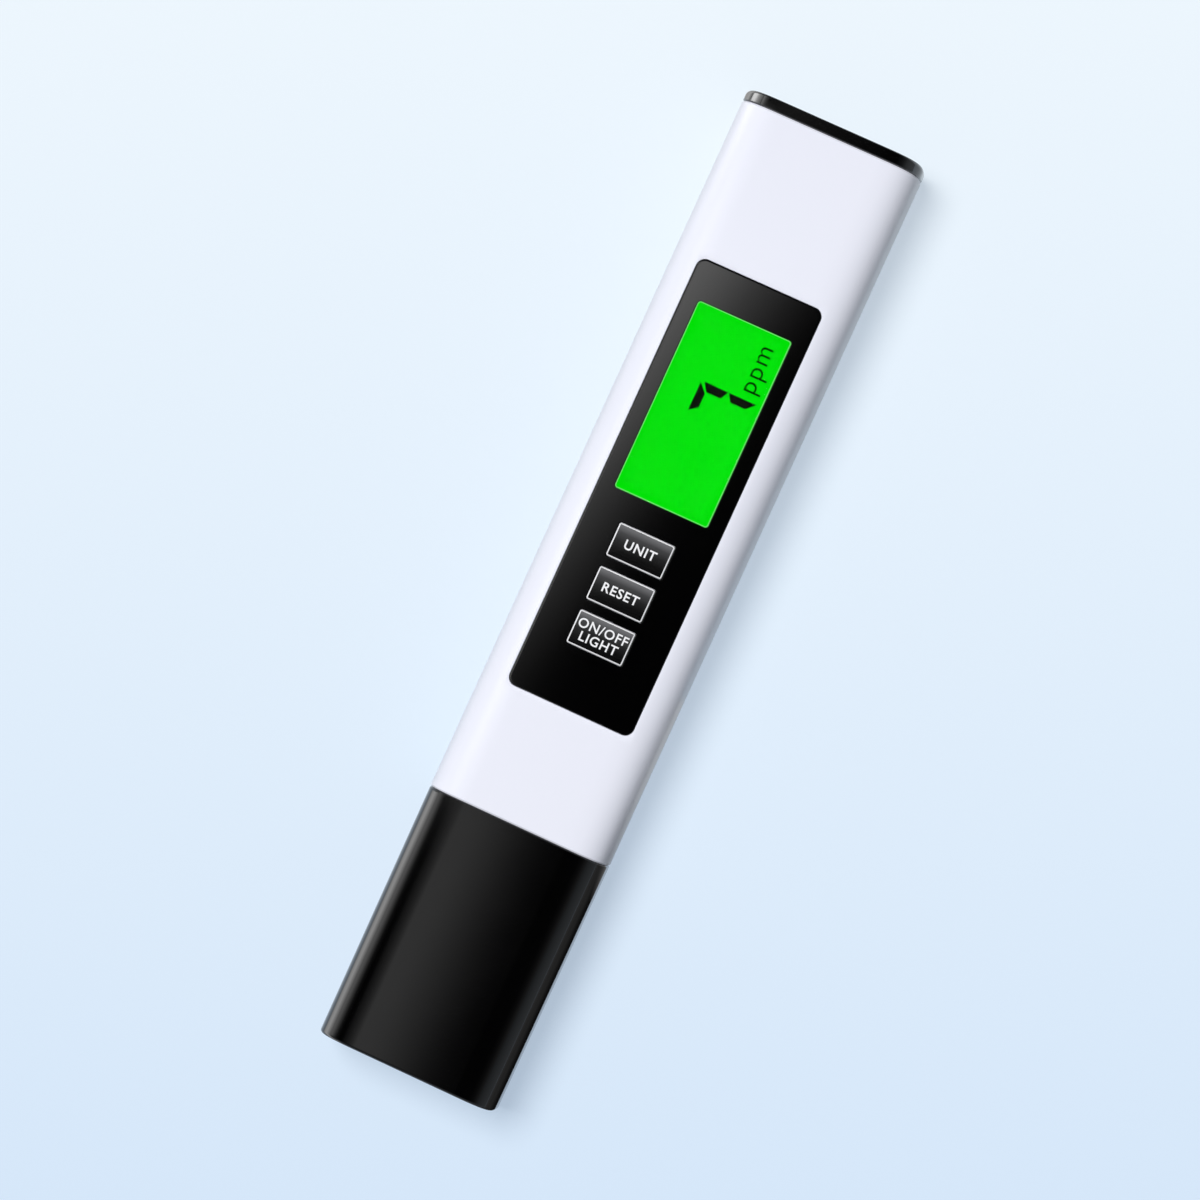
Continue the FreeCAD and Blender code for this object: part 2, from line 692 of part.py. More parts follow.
def make_lcd():
    """Two glass plates; the front one overhangs on the left, where its contacts face the board."""
    body = new_body("lcd_cell", y="seam_y + window_centre", z="lcd_z")
    extrude(body, "rear_glass", "z", "0", "lcd_glass", sharp("lcd_width", "lcd_length"))
    extrude(body, "front_glass", "z", "lcd_glass", "lcd_glass",
            sharp("lcd_full_width", "lcd_length", x="-lcd_ledge / 2"))


def make_light_guide():
    """A clear plate behind the display, beveled toward the light at its lower end."""
    body = new_body("light_guide", y="seam_y + window_centre", z="board_top_z")
    extrude(body, "plate", "z", "0", "lcd_standoff", sharp("lcd_width", "lcd_length"))
    soften(body, "far_bevel", "Chamfer", "guide_bevel",
           lambda box: lies_at("y", "lcd_length / 2")(box) and lies_at("z", "0")(box))


def make_led():
    body = new_body("backlight_led", y="seam_y + lcd_start - led_depth / 2", z="board_top_z")
    extrude(body, "package", "z", "0", "led_height",
            sharp("led_length", "led_depth - frame_fit", y="frame_fit / 2"))
    emitter = sharp("led_length - 2 * led_margin", "led_height - led_margin / 2", y="led_height / 2")
    extrude(body, "emitter_well", "y", "led_depth / 2 - frame_fit", "frame_fit", emitter, cut=True)


def make_lcd_frame():
    """A frame round the display and its light guide, on four lugs pegged into the board."""
    body = new_body("lcd_frame", x="-lcd_ledge / 2", y="seam_y + frame_centre", z="board_top_z")
    extrude(body, "wall", "z", "0", "frame_height", rounded("frame_width", "frame_length", "frame_wall"))
    extrude(body, "inside", "z", "0", "lcd_z + lcd_height - board_top_z",
            sharp("lcd_full_width + 2 * frame_fit", "lcd_length + led_depth + 2 * frame_fit"), cut=True)
    extrude(body, "view", "z", "0", "frame_height",
            sharp("lcd_width - 2 * frame_lip", "lcd_length - 2 * frame_lip",
                  x="lcd_ledge / 2", y="led_depth / 2"),
            cut=True)
    for end, along_y in (("near", "-"), ("far", "")):
        for hand, across in (("left", "-"), ("right", "")):
            x = f"{across}lug_spacing / 2 + lcd_ledge / 2"
            reach = "lug_length + frame_wall / 2"
            extrude(body, f"{end}_{hand}_lug", "z", "0", "lcd_standoff",
                    sharp("lug_width", reach, x=x,
                          y=f"{along_y}(frame_length / 2 + lug_length - ({reach}) / 2)"))
            extrude(body, f"{end}_{hand}_peg", "z", "-peg_length", "peg_length",
                    disc("peg_diameter", x=x, y=f"{along_y}(frame_length + lug_length) / 2"))


def make_contact_strip():
    """The rubber strip that joins the display's overhanging edge to the board."""
    body = new_body("contact_strip", x="-lcd_width / 2 - lcd_ledge / 2", y="seam_y + window_centre",
                    z="board_top_z")
    extrude(body, "bar", "z", "0", "lcd_standoff + lcd_glass", sharp("strip_width", "lcd_length - strip_width"))


def make_chip():
    """The square controller under the board, with eight leads on each side."""
    body = new_body("control_chip", y="seam_y + window_centre - chip_offset", z="board_z")
    low, side = "-chip_thickness", "chip_side - 2 * chip_lead_reach"
    extrude(body, "package", "z", low, "chip_thickness - chip_gap", sharp(side, side))
    soften(body, "package_edges", "Chamfer", "chip_edge", lies_at("z", low))
    corner = "chip_side / 2 - 2 * chip_lead_reach"
    extrude(body, "first_lead_mark", "z", low, "chip_gap", disc("chip_mark", x=corner, y=corner), cut=True)
    long, far = "chip_lead_reach + chip_edge", "(chip_side / 2 - (chip_lead_reach + chip_edge) / 2)"
    first = "-3.5 * lead_pitch"
    rows = (("right", long, "lead_width", far, first, "Y_Axis"),
            ("left", long, "lead_width", f"-{far}", first, "Y_Axis"),
            ("low", "lead_width", long, first, f"-{far}", "X_Axis"),
            ("high", "lead_width", long, first, far, "X_Axis"))
    for name, width, height, x, y, axis in rows:
        lead = extrude(body, f"{name}_lead", "z", "-lead_height", "lead_height", sharp(width, height, x=x, y=y))
        repeat(body, f"{name}_leads", lead, axis, 8, "lead_pitch")


def make_crystal():
    """The timing crystal, a small can lying under the board on a flat foot."""
    body = new_body("crystal", x="row_x", y="seam_y + window_centre - chip_offset", z="board_z")
    extrude(body, "can", "y", "-crystal_length / 2", "crystal_length",
            disc("crystal_diameter", y="-crystal_diameter / 2 - chip_gap"))
    extrude(body, "foot", "z", "-crystal_diameter / 2", "crystal_diameter / 2",
            sharp("crystal_foot", "crystal_length - crystal_diameter / 2"))


def make_small_parts():
    """A row of chip resistors and capacitors under the board."""
    body = new_body("chip_parts", x="-row_x", y="seam_y + first_key", z="board_z")
    body.AllowCompound = True
    first = extrude(body, "first_part", "z", "-small_part_height", "small_part_height",
                    sharp("small_part_length", "small_part_width"))
    repeat(body, "row", first, "Y_Axis", 6, "small_part_pitch")


def make_leaf(name, side):
    """A sprung strip soldered to the board that presses on the top of one cell."""
    body = new_body(name, x=f"{side}cell_pitch / 2", y="seam_y + board_end", z="board_top_z")
    low, start = "-leaf_drop", "leaf_reach - leaf_contact / 2"
    end = "leaf_reach + leaf_contact / 2"
    under = [("-leaf_foot", "0"), ("2 * leaf_sheet", "0"), (start, low), (end, low),
             (f"{end} + leaf_tip", f"{low} + leaf_tip_rise")]
    over = [(x, f"{z} + leaf_sheet") for x, z in reversed(under)]
    extrude(body, "strip", "x", "-leaf_width / 2", "leaf_width", lambda sketch: polygon(sketch, under + over))


# The probe nose

def make_nose():
    """The plug in the sleeve, the neck under the cap and the slotted guard round the sensors."""
    body = new_body("probe_nose", y="seam_y")
    extrude(body, "guard", "y", "-nose_length", "nose_length",
            rounded("guard_width", "guard_depth", "guard_corner", y="middle_z"))
    soften(body, "guard_end", "Fillet", "guard_round", lies_at("y", "-nose_length"))
    extrude(body, "neck", "y", "-neck_length", "neck_length",
            rounded("neck_width", "neck_depth", "neck_corner", y="middle_z"))
    soften(body, "neck_shoulder", "Chamfer", "shoulder",
           lambda box: lies_at("y", "-neck_length")(box) and
           (abs(box.XMax) > value("guard_width / 2") + TOUCH or abs(box.XMin) > value("guard_width / 2") + TOUCH
            or box.ZMin < value("middle_z - guard_depth / 2") - TOUCH
            or box.ZMax > value("middle_z + guard_depth / 2") + TOUCH))
    extrude(body, "plug", "y", "0", "plug_length", rounded("plug_width", "plug_height", "plug_corner", y="bore_z"))
    extrude(body, "neck_ring_groove", "y", "-neck_groove_start - neck_ring - groove_play", "neck_ring + groove_play",
            ring_band("neck_width", "neck_depth", "neck_corner", "neck_groove", "middle_z"), cut=True)
    extrude(body, "plug_ring_groove", "y", "plug_groove_start", "plug_ring + groove_play",
            ring_band("plug_width", "plug_height", "plug_corner", "plug_groove", "bore_z"), cut=True)
    extrude(body, "chamber", "y", "-nose_length", "chamber_depth",
            rounded("chamber_width", "chamber_height", "chamber_corner", y="middle_z"), cut=True)
    slot = extrude(body, "flow_slot", "z", "0", "body_depth",
                   rounded("slot_width", "slot_length", "slot_width / 2 - 0.02", x="-slot_pitch",
                           y="slot_start + slot_length / 2 - nose_length"), cut=True)
    repeat(body, "flow_slots", slot, "X_Axis", 3, "slot_pitch")
    extrude(body, "hollow", "y", "hollow_floor", "plug_length - hollow_floor",
            rounded("hollow_width", "hollow_height", "hollow_corner", y="middle_z"), cut=True)
    for name, diameter, x in (("left", "electrode_diameter", "-electrode_spacing / 2"),
                              ("tube", "probe_tube_diameter", "0"),
                              ("right", "electrode_diameter", "electrode_spacing / 2")):
        extrude(body, f"{name}_seat", "y", "chamber_floor - seat_rise", "2 * seat_rise",
                disc(f"{diameter} + 2 * seat_wall", x=x, y="middle_z"))
        extrude(body, f"{name}_sensor_hole", "y", "chamber_floor - seat_rise", "bulkhead + 2 * seat_rise",
                disc(f"{diameter} + 2 * sensor_fit", x=x, y="middle_z"), cut=True)
    extrude(body, "tongue", "y", "plug_length - tongue_root", "tongue_length + tongue_root",
            sharp("tongue_width", "tongue_thickness", y="tongue_z + tongue_thickness / 2"))
    posts = [extrude(body, "post", "z", "tongue_z", "board_z - tongue_z",
                     disc("post_diameter", x="screw_spacing / 2", y="post_y"))]
    posts.append(extrude(body, "pilot", "z", "tongue_z + pilot_floor", "board_z - tongue_z",
                         disc("pilot_hole", x="screw_spacing / 2", y="post_y"), cut=True))
    mirror(body, "posts", posts)


def make_electrode(name, side):
    """A titanium pin from the chamber back to the board's underside."""
    body = new_body(name, x=f"{side}electrode_spacing / 2", y="seam_y + chamber_floor", z="middle_z")
    radius, tip = "electrode_diameter / 2", "-electrode_reach"
    revolve(body, "pin", [("0", tip), (f"{radius} - pin_edge", tip), (radius, f"{tip} + pin_edge"),
                          (radius, "electrode_tail"), ("0", "electrode_tail")])


def make_thermistor_tube():
    """A steel tube with a closed tip; the temperature sensor sits inside it."""
    body = new_body("thermistor_tube", y="seam_y + chamber_floor", z="middle_z")
    outer, inner = "probe_tube_diameter / 2", "(probe_tube_diameter / 2 - probe_tube_wall)"
    tip, tail = "-probe_tube_reach", "bulkhead + potting_length + potting_step"
    inner_tip = f"{tip} + probe_tube_wall"
    revolve(body, "tube", [("0", tip), (f"{outer} - tube_edge", tip), (outer, f"{tip} + tube_edge"), (outer, tail),
                           (inner, tail), (inner, f"{inner_tip} + tube_edge"), (f"{inner} - tube_edge", inner_tip),
                           ("0", inner_tip)])


def make_thermistor():
    """A bead on two straight leads that end under the board."""
    body = new_body("thermistor", y="seam_y + chamber_floor", z="middle_z")
    radius, middle = "bead_diameter / 2", "bead_depth - probe_tube_reach"
    outline = [("0", f"{middle} - {radius}"), (f"{radius} * 0.7", f"{middle} - {radius} * 0.7"),
               (radius, middle), (f"{radius} * 0.7", f"{middle} + {radius} * 0.7"), ("0", f"{middle} + {radius}")]
    revolve(body, "bead", outline)
    lead = extrude(body, "lead", "y", middle, f"electrode_end - chamber_floor - ({middle})",
                   disc("lead_diameter", x="lead_spacing / 2", y="(electrode_diameter - lead_diameter) / 2"))
    mirror(body, "leads", [lead])


def make_potting():
    """The resin block behind the bulkhead that seals the sensors in."""
    body = new_body("probe_potting", y="seam_y + hollow_floor", z="middle_z")
    extrude(body, "block", "y", "0", "potting_length",
            rounded("hollow_width - 2 * sensor_fit", "hollow_height - 2 * sensor_fit",
                    "hollow_corner - sensor_fit"))
    hole = extrude(body, "pin_hole", "y", "0", "potting_length",
                   disc("electrode_diameter + 2 * sensor_fit", x="electrode_spacing / 2"), cut=True)
    mirror(body, "pin_holes", [hole])
    extrude(body, "tube_hole", "y", "0", "potting_length",
            disc("probe_tube_diameter + 2 * sensor_fit"), cut=True)


def make_screw(name, side):
    """A pan-head screw with a cross recess."""
    body = new_body(name, x=f"{side}screw_spacing / 2", y="seam_y + post_y", z="board_top_z")
    head, shank = "screw_head / 2", "screw_shank / 2"
    revolve(body, "turned", [("0", "-screw_length"), (f"{shank} - screw_edge", "-screw_length"),
                             (shank, "-screw_length + screw_edge"), (shank, "0"), (head, "0"),
                             (head, "screw_head_height - screw_edge"), (f"{head} - screw_edge", "screw_head_height"),
                             ("0", "screw_head_height")], axis="Z_Axis", plane="y")
    for name, width, height in (("across", "recess_length", "recess_width"),
                                ("along", "recess_width", "recess_length")):
        extrude(body, f"recess_{name}", "z", "screw_head_height - recess_cut", "recess_cut", sharp(width, height),
                cut=True)


def make_ring(name, y, z, width, height, radius, section):
    """A rubber ring of round section, bent to a rounded rectangle."""
    body = new_body(name, y=y, z=z)
    path = new_sketch(body, "path", "y", "0")
    rounded_rectangle(path, "0", "0", f"{width} + {section}", f"{height} + {section}", f"{radius} + {section} / 2")
    profile = new_sketch(body, "profile", "x", "0")
    circle(profile, "0", f"({height} + {section}) / 2", section)
    ring = body.newObject("PartDesign::AdditivePipe", "ring")
    ring.Profile = profile
    ring.Spine = (path, [])
    ring.Transition = "Transformed"
    for sketch in (path, profile):
        sketch.Visibility = False


# The cap

def make_cap():
    """The pull-off probe cap, a little slimmer toward its closed end."""
    body = new_body("probe_cap", y="seam_y")
    wide_end = new_sketch(body, "seam_end", "y", "0")
    rounded_rectangle(wide_end, "0", "middle_z", "body_width", "body_depth", "body_corner")
    slim_end = new_sketch(body, "closed_end", "y", "-cap_length")
    rounded_rectangle(slim_end, "0", "middle_z", "body_width - 2 * cap_draft", "body_depth - 2 * cap_draft",
                      "body_corner - cap_draft")
    shell = body.newObject("PartDesign::AdditiveLoft", "shell")
    shell.Profile = wide_end
    shell.Sections = [slim_end]
    shell.Ruled = True
    soften(body, "parting_edge", "Chamfer", "parting_break", lies_at("y", "0"))
    soften(body, "end_edge", "Fillet", "cap_end_round", lies_at("y", "-cap_length"))
    extrude(body, "inside", "y", "cap_end_wall - cap_length", "cap_length - cap_end_wall",
            rounded("cap_bore_width", "cap_bore_depth", "cap_bore_corner", y="middle_z"), cut=True)


# The battery drawer

def make_lid():
    """The end lid: a rounded flange, a plug with a ring groove and a slot for the tray's tongue."""
    body = new_body("battery_lid", y="seam_y + sleeve_length")
    extrude(body, "flange", "y", "0", "lid_thickness",
            rounded("body_width", "body_depth", "body_corner", y="middle_z"))
    soften(body, "parting_edge", "Chamfer", "parting_break", lies_at("y", "0"))
    soften(body, "outer_edge", "Fillet", "lid_round", lies_at("y", "lid_thickness"))
    extrude(body, "plug", "y", "-lid_plug_length", "lid_plug_length",
            rounded("plug_width", "plug_height", "plug_corner", y="bore_z"))
    extrude(body, "ring_groove", "y", "-lid_groove_start - plug_ring - groove_play", "plug_ring + groove_play",
            ring_band("plug_width", "plug_height", "plug_corner", "plug_groove", "bore_z"), cut=True)
    extrude(body, "tongue_slot", "y", "-lid_plug_length", "tongue_slot_depth",
            sharp("tray_tongue_width + 2 * tray_tongue_fit", "tray_tongue_thickness + 2 * tray_tongue_fit",
                  y="tray_tongue_z"), cut=True)
    extrude(body, "pry_notch", "z", "0", "notch_depth", sharp("notch_width", "2 * notch_height"), cut=True)


def make_tray():
    """The open tray for two cells side by side, with a tongue that holds it to the lid."""
    body = new_body("battery_tray", y="seam_y + cell_y")
    half = "tray_length / 2"
    extrude(body, "block", "y", f"-{half}", "tray_length",
            rounded("tray_width", "bore_height - 2 * tray_fit", "tray_corner", y="bore_z"))
    extrude(body, "open_top", "z", "tray_wall_top", "bore_height", sharp("tray_width + 2", "tray_length + 2"),
            cut=True)
    well = extrude(body, "cell_well", "z", "strap_z", "body_depth",
                   disc("cell_diameter + 2 * cell_fit", x="cell_pitch / 2"), cut=True)
    mirror(body, "cell_wells", [well])
    extrude(body, "strap_gap", "z", "strap_z", "body_depth",
            sharp("cell_pitch / 2", "strap_width + 2 * cell_fit"), cut=True)
    extrude(body, "tongue", "y", half, "tray_tongue_length",
            sharp("tray_tongue_width", "tray_tongue_thickness", y="tray_tongue_z"))


def make_cell(name, side, button_up):
    """A button cell; the narrower cover is its negative end."""
    body = new_body(name, x=f"{side}cell_pitch / 2", y="seam_y + cell_y", z="cell_z")
    can, button, edge = "cell_diameter / 2", "cell_button / 2", "cell_edge"
    can_height = "(cell_height - cell_button_rise)"
    outline = [("0", "0"), (f"{can} - {edge}", "0"), (can, edge), (can, f"{can_height} - {edge}"),
               (f"{can} - {edge}", can_height), (button, can_height), (f"{button} - {edge} / 4", "cell_height"),
               ("0", "cell_height")]
    if not button_up:
        outline = [(x, f"cell_height - ({z})") for x, z in reversed(outline)]
    revolve(body, "can", outline, axis="Z_Axis", plane="y")


def make_bridge():
    """The strip under both cells that joins them in a row."""
    body = new_body("battery_bridge", y="seam_y + cell_y", z="strap_z")
    extrude(body, "strip", "z", "0", "strap_thickness",
            rounded("cell_pitch + strap_tail", "strap_width", "strap_width / 5"))


make_sleeve()
make_panel()
make_lens()
for number, function in enumerate(("power", "reset", "unit")):
    make_key(f"{function}_key", number)
    make_plunger(f"{function}_plunger", number)
    make_dome(f"{function}_dome", number)
    make_switch(f"{function}_switch", number)
make_board()
make_lcd()
make_light_guide()
make_led()
make_lcd_frame()
make_contact_strip()
make_chip()
make_crystal()
make_small_parts()
make_nose()
make_potting()
make_thermistor_tube()
make_thermistor()
for hand, side in (("left", "-"), ("right", "")):
    make_electrode(f"electrode_{hand}", side)
    make_screw(f"board_screw_{hand}", side)
make_leaf("positive_leaf", "-")
make_leaf("negative_leaf", "")
make_ring("neck_ring", "seam_y - neck_groove_start - (neck_ring + groove_play) / 2", "middle_z",
          "(neck_width - 2 * neck_groove)", "(neck_depth - 2 * neck_groove)", "(neck_corner - neck_groove)",
          "neck_ring")
make_ring("sleeve_ring", "seam_y + plug_groove_start + (plug_ring + groove_play) / 2", "bore_z",
          "(plug_width - 2 * plug_groove)", "(plug_height - 2 * plug_groove)", "(plug_corner - plug_groove)",
          "plug_ring")
make_ring("lid_seal", "seam_y + sleeve_length - lid_groove_start - (plug_ring + groove_play) / 2", "bore_z",
          "(plug_width - 2 * plug_groove)", "(plug_height - 2 * plug_groove)", "(plug_corner - plug_groove)",
          "plug_ring")
make_cap()
make_lid()
make_tray()
make_cell("cell_1", "-", False)
make_cell("cell_2", "", True)
make_bridge()

doc.recompute()
for item in doc.Objects:
    if {"Invalid", "Error"} & set(item.State):
        raise ValueError(f"{item.Name} did not build: {item.State}")
os.makedirs("parts", exist_ok=True)
for body in doc.findObjects("PartDesign::Body"):
    if body.Shape.isNull() or not body.Shape.isValid():
        raise ValueError(f"{body.Label} has no valid shape")
    body.Shape.exportStep(f"parts/{body.Label}.step")
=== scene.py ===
# The looks of a pen-type water meter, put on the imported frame. Lengths are in millimetres until a mesh is
# filled, X goes across the pen, Y runs from the probe cap to the battery lid, and +Z is the display side.
import json
import math
import bmesh
import bpy
import numpy as np
from mathutils import Matrix, Vector
from mathutils.geometry import delaunay_2d_cdt


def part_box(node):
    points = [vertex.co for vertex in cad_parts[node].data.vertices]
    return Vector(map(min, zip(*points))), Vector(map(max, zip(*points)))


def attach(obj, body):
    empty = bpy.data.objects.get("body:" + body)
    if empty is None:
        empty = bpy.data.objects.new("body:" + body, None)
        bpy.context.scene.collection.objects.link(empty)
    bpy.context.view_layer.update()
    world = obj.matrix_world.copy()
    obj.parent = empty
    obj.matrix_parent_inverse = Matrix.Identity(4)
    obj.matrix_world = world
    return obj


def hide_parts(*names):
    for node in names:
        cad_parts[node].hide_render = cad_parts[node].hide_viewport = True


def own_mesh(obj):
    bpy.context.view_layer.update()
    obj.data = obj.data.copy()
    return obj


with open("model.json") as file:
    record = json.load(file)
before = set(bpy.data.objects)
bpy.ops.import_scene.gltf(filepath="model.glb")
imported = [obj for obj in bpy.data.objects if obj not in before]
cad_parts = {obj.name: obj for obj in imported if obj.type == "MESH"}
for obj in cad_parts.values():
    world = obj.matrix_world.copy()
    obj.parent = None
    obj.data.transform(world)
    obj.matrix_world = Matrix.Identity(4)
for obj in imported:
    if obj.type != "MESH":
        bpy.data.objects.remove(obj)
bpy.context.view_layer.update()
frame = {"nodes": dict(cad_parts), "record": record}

MM = 0.001
CORNER_STEPS = 12  # facets of a rounded corner
HOLD = 0.25  # from a bend to the point that keeps the flat beside it flat


def node_box(node):
    """A node's lowest and highest corners in millimetres."""
    return [np.array(corner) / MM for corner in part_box(node)]


# Surfaces

def rounded_loop(width, height, radius, centre=(0.0, 0.0), hold=HOLD, steps=CORNER_STEPS, lead=0.0):
    """A rounded rectangle, anticlockwise from its right side. A corner is a quarter circle about its own
    centre, less a lead angle at both ends, and one more point lies on the straight on either side of it.
    Gives the points and the outward normals there."""
    turn = np.concatenate(([0.0], np.linspace(lead, math.pi / 2 - lead, steps + 1), [math.pi / 2]))
    shift = np.zeros(len(turn))
    shift[0], shift[-1] = -1.0, 1.0
    points, normals = [], []
    for quarter, (across, up) in enumerate(((1, 1), (-1, 1), (-1, -1), (1, -1))):
        angle = turn + quarter * math.pi / 2
        normal = np.stack((np.cos(angle), np.sin(angle)), 1)
        tangent = np.stack((-np.sin(angle), np.cos(angle)), 1)
        middle = np.array(centre) + (across * (width / 2 - radius), up * (height / 2 - radius))
        points.append(middle + radius * normal + shift[:, None] * tangent * hold)
        normals.append(normal)
    return np.concatenate(points), np.concatenate(normals)


def body_loop(steps=CORNER_STEPS + 4):
    """The outer section that sleeve, cap and lid share, anticlockwise from the right side. Each corner is a
    superellipse, |u|^n + |v|^n = 1 over its reach, at even steps of its normal's direction, so that it
    leaves the flats more gently than a circle. Gives the points and the outward normals there."""
    direction = np.linspace(0, math.pi / 2, steps + 1)
    root = 1 / (CORNER_POWER - 1)
    u, v = np.cos(direction).clip(0) ** root, np.sin(direction) ** root
    size = CORNER_REACH / (u ** CORNER_POWER + v ** CORNER_POWER) ** (1 / CORNER_POWER)
    corner = np.column_stack((u * size, v * size))
    shift = np.zeros((steps + 3, 2))
    shift[0], shift[-1] = (0, -HOLD), (-HOLD, 0)
    ends = np.pad(np.arange(steps + 1), 1, mode="edge")
    corner, normal = corner[ends] + shift, np.column_stack((np.cos(direction), np.sin(direction)))[ends]
    points, normals = [], []
    for quarter, (across, up) in enumerate(((1, 1), (-1, 1), (-1, -1), (1, -1))):
        middle = (across * (BODY_WIDTH / 2 - CORNER_REACH), MIDDLE + up * (BODY_DEPTH / 2 - CORNER_REACH))
        c, s = round(math.cos(quarter * math.pi / 2)), round(math.sin(quarter * math.pi / 2))
        turn = np.array([(c, s), (-s, c)])
        points.append(corner @ turn + middle)
        normals.append(normal @ turn)
    return np.concatenate(points), np.concatenate(normals)


def turned(points, along):
    """Section points and levels put in place: the section lies across the axis that is named."""
    u, v, w = points[..., 0], points[..., 1], points[..., 2]
    return np.stack({"x": (w, u, v), "y": (u, w, v), "z": (u, v, w)}[along], -1)


def rings_of(loop, profile):
    """The loop carried along a profile: each profile point moves it outward by the first number and to the
    level of the second."""
    points, normals = loop
    profile = np.asarray(profile, float)
    section = points[None] + profile[:, :1, None] * normals[None]
    levels = np.broadcast_to(profile[:, 1:, None], section.shape[:2] + (1,))
    return np.concatenate((section, levels), -1)


def grid_faces(rows, columns, closed_rows=False):
    """Quads between neighbouring rows of closed rings, and from the last row to the first if that closes."""
    row = np.arange(rows if closed_rows else rows - 1)[:, None]
    this, after = np.arange(columns)[None], (np.arange(columns) + 1)[None] % columns
    above = (row + 1) % rows
    quads = (row * columns + this, row * columns + after, above * columns + after, above * columns + this)
    return np.stack(np.broadcast_arrays(*quads), -1).reshape(-1, 4)


def skin(rings, along="z", closed_rows=False, start=False, end=False, keep=None):
    """A surface through rings of equal length. Its first and last rings can be closed with a flat face, and
    keep says which of its quads stay."""
    rows, columns = rings.shape[:2]
    quads = grid_faces(rows, columns, closed_rows)
    if keep is not None:
        quads = quads[keep.reshape(-1)]
    faces = quads.tolist()
    if start:
        faces.append(list(range(columns))[::-1])
    if end:
        faces.append(list(range((rows - 1) * columns, rows * columns)))
    if along == "y":
        faces = [face[::-1] for face in faces]
    return turned(rings.reshape(-1, 3), along), faces


def inside(points, outline):
    """Whether each point lies in an outline: a ray to its right crosses the sides an odd number of times."""
    x, y = points[:, :1], points[:, 1:]
    ax, ay = outline[:, 0], outline[:, 1]
    bx, by = np.roll(ax, -1), np.roll(ay, -1)
    slope = (bx - ax) / np.where(by == ay, 1.0, by - ay)
    return (((ay > y) != (by > y)) & (x < slope * (y - ay) + ax)).sum(1) % 2 == 1


def plate(outline, holes, level, up=True):
    """The flat face between an outline and its holes, in triangles through their own points. The level is a
    number, or a function of x."""
    loops = [outline, *holes]
    starts = np.cumsum([0] + [len(loop) for loop in loops])
    edges = [(first + k, first + (k + 1) % len(loop))
             for first, loop in zip(starts, loops) for k in range(len(loop))]
    found = delaunay_2d_cdt([Vector(point) for point in np.concatenate(loops)], edges, [], 0, 1e-7)
    flat, triangles = np.array(found[0]), np.array(found[2])
    middle = flat[triangles].mean(1)
    keep = inside(middle, outline)
    for hole in holes:
        keep &= ~inside(middle, hole)
    height = level(flat[:, 0]) if callable(level) else np.full(len(flat), float(level))
    faces = triangles[keep] if up else triangles[keep][:, ::-1]
    return np.column_stack((flat, height)), faces.tolist()


def bend(middle, radius, first, last, steps=5):
    """Profile points on an arc about its middle, between two angles in degrees."""
    angle = np.radians(np.linspace(first, last, steps + 1))
    return [(middle[0] + radius * c, middle[1] + radius * s) for c, s in zip(np.cos(angle), np.sin(angle))]


def shell_height(x):
    """The height of the sleeve's outside at x: flat, then round over the long edges."""
    past = np.clip(np.abs(x) - (BODY_WIDTH / 2 - CORNER_REACH), 0, CORNER_REACH) / CORNER_REACH
    return BODY_DEPTH - CORNER_REACH + CORNER_REACH * (1 - past ** CORNER_POWER) ** (1 / CORNER_POWER)


# Pieces

def piece(name, surfaces, material, body, replaces=(), crease=35.0):
    """Surfaces joined into one closed mesh that rides on its body. Points that meet are merged, and an edge
    sharper than the crease angle stays sharp."""
    starts = np.cumsum([0] + [len(points) for points, _ in surfaces])
    points = np.concatenate([points for points, _ in surfaces]) * MM
    faces = [[k + first for k in face] for first, (_, part) in zip(starts, surfaces) for face in part]
    mesh = bpy.data.meshes.new(name)
    mesh.from_pydata(points.tolist(), [], faces)
    merge(mesh)
    return put(name, mesh, material, body, replaces, crease)


def merge(mesh):
    """Points of a mesh at the same place become one, and faces without an area go."""
    cage = bmesh.new()
    cage.from_mesh(mesh)
    bmesh.ops.remove_doubles(cage, verts=cage.verts, dist=2e-7)
    bmesh.ops.dissolve_degenerate(cage, dist=1e-7, edges=cage.edges)
    cage.to_mesh(mesh)
    cage.free()


def put(name, mesh, material, body, replaces=(), crease=35.0):
    """A finished mesh becomes a piece: smooth but for its creases, with its finish, on its body."""
    mesh.shade_smooth()
    mesh.set_sharp_from_angle(angle=math.radians(crease))
    mesh.materials.clear()
    mesh.materials.append(material)
    thing = bpy.data.objects.new(name, mesh)
    bpy.context.scene.collection.objects.link(thing)
    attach(thing, body)
    if replaces:
        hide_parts(*replaces)
    return thing


# Finishes

def node(tree, kind, **settings):
    """A new shader node of a kind, with its settings."""
    made = tree.nodes.new(kind)
    for setting, content in settings.items():
        setattr(made, setting, content)
    return made


def noise(tree, source, scale, detail=2.0, stretch=(1.0, 1.0, 1.0)):
    """A cloudy pattern over the object's own coordinates, with scale periods in a millimetre."""
    mapping = node(tree, "ShaderNodeMapping")
    mapping.inputs["Scale"].default_value = [scale * s / MM for s in stretch]
    tree.links.new(source, mapping.inputs["Vector"])
    made = node(tree, "ShaderNodeTexNoise")
    made.inputs["Scale"].default_value = 1.0
    made.inputs["Detail"].default_value = detail
    tree.links.new(mapping.outputs["Vector"], made.inputs["Vector"])
    return made.outputs["Fac"]


def remap(tree, source, low, high, start=0.2, stop=0.8):
    """A value between start and stop turned into one between low and high."""
    made = node(tree, "ShaderNodeMapRange")
    for name, number in (("From Min", start), ("From Max", stop), ("To Min", low), ("To Max", high)):
        made.inputs[name].default_value = number
    tree.links.new(source, made.inputs["Value"])
    return made.outputs["Result"]


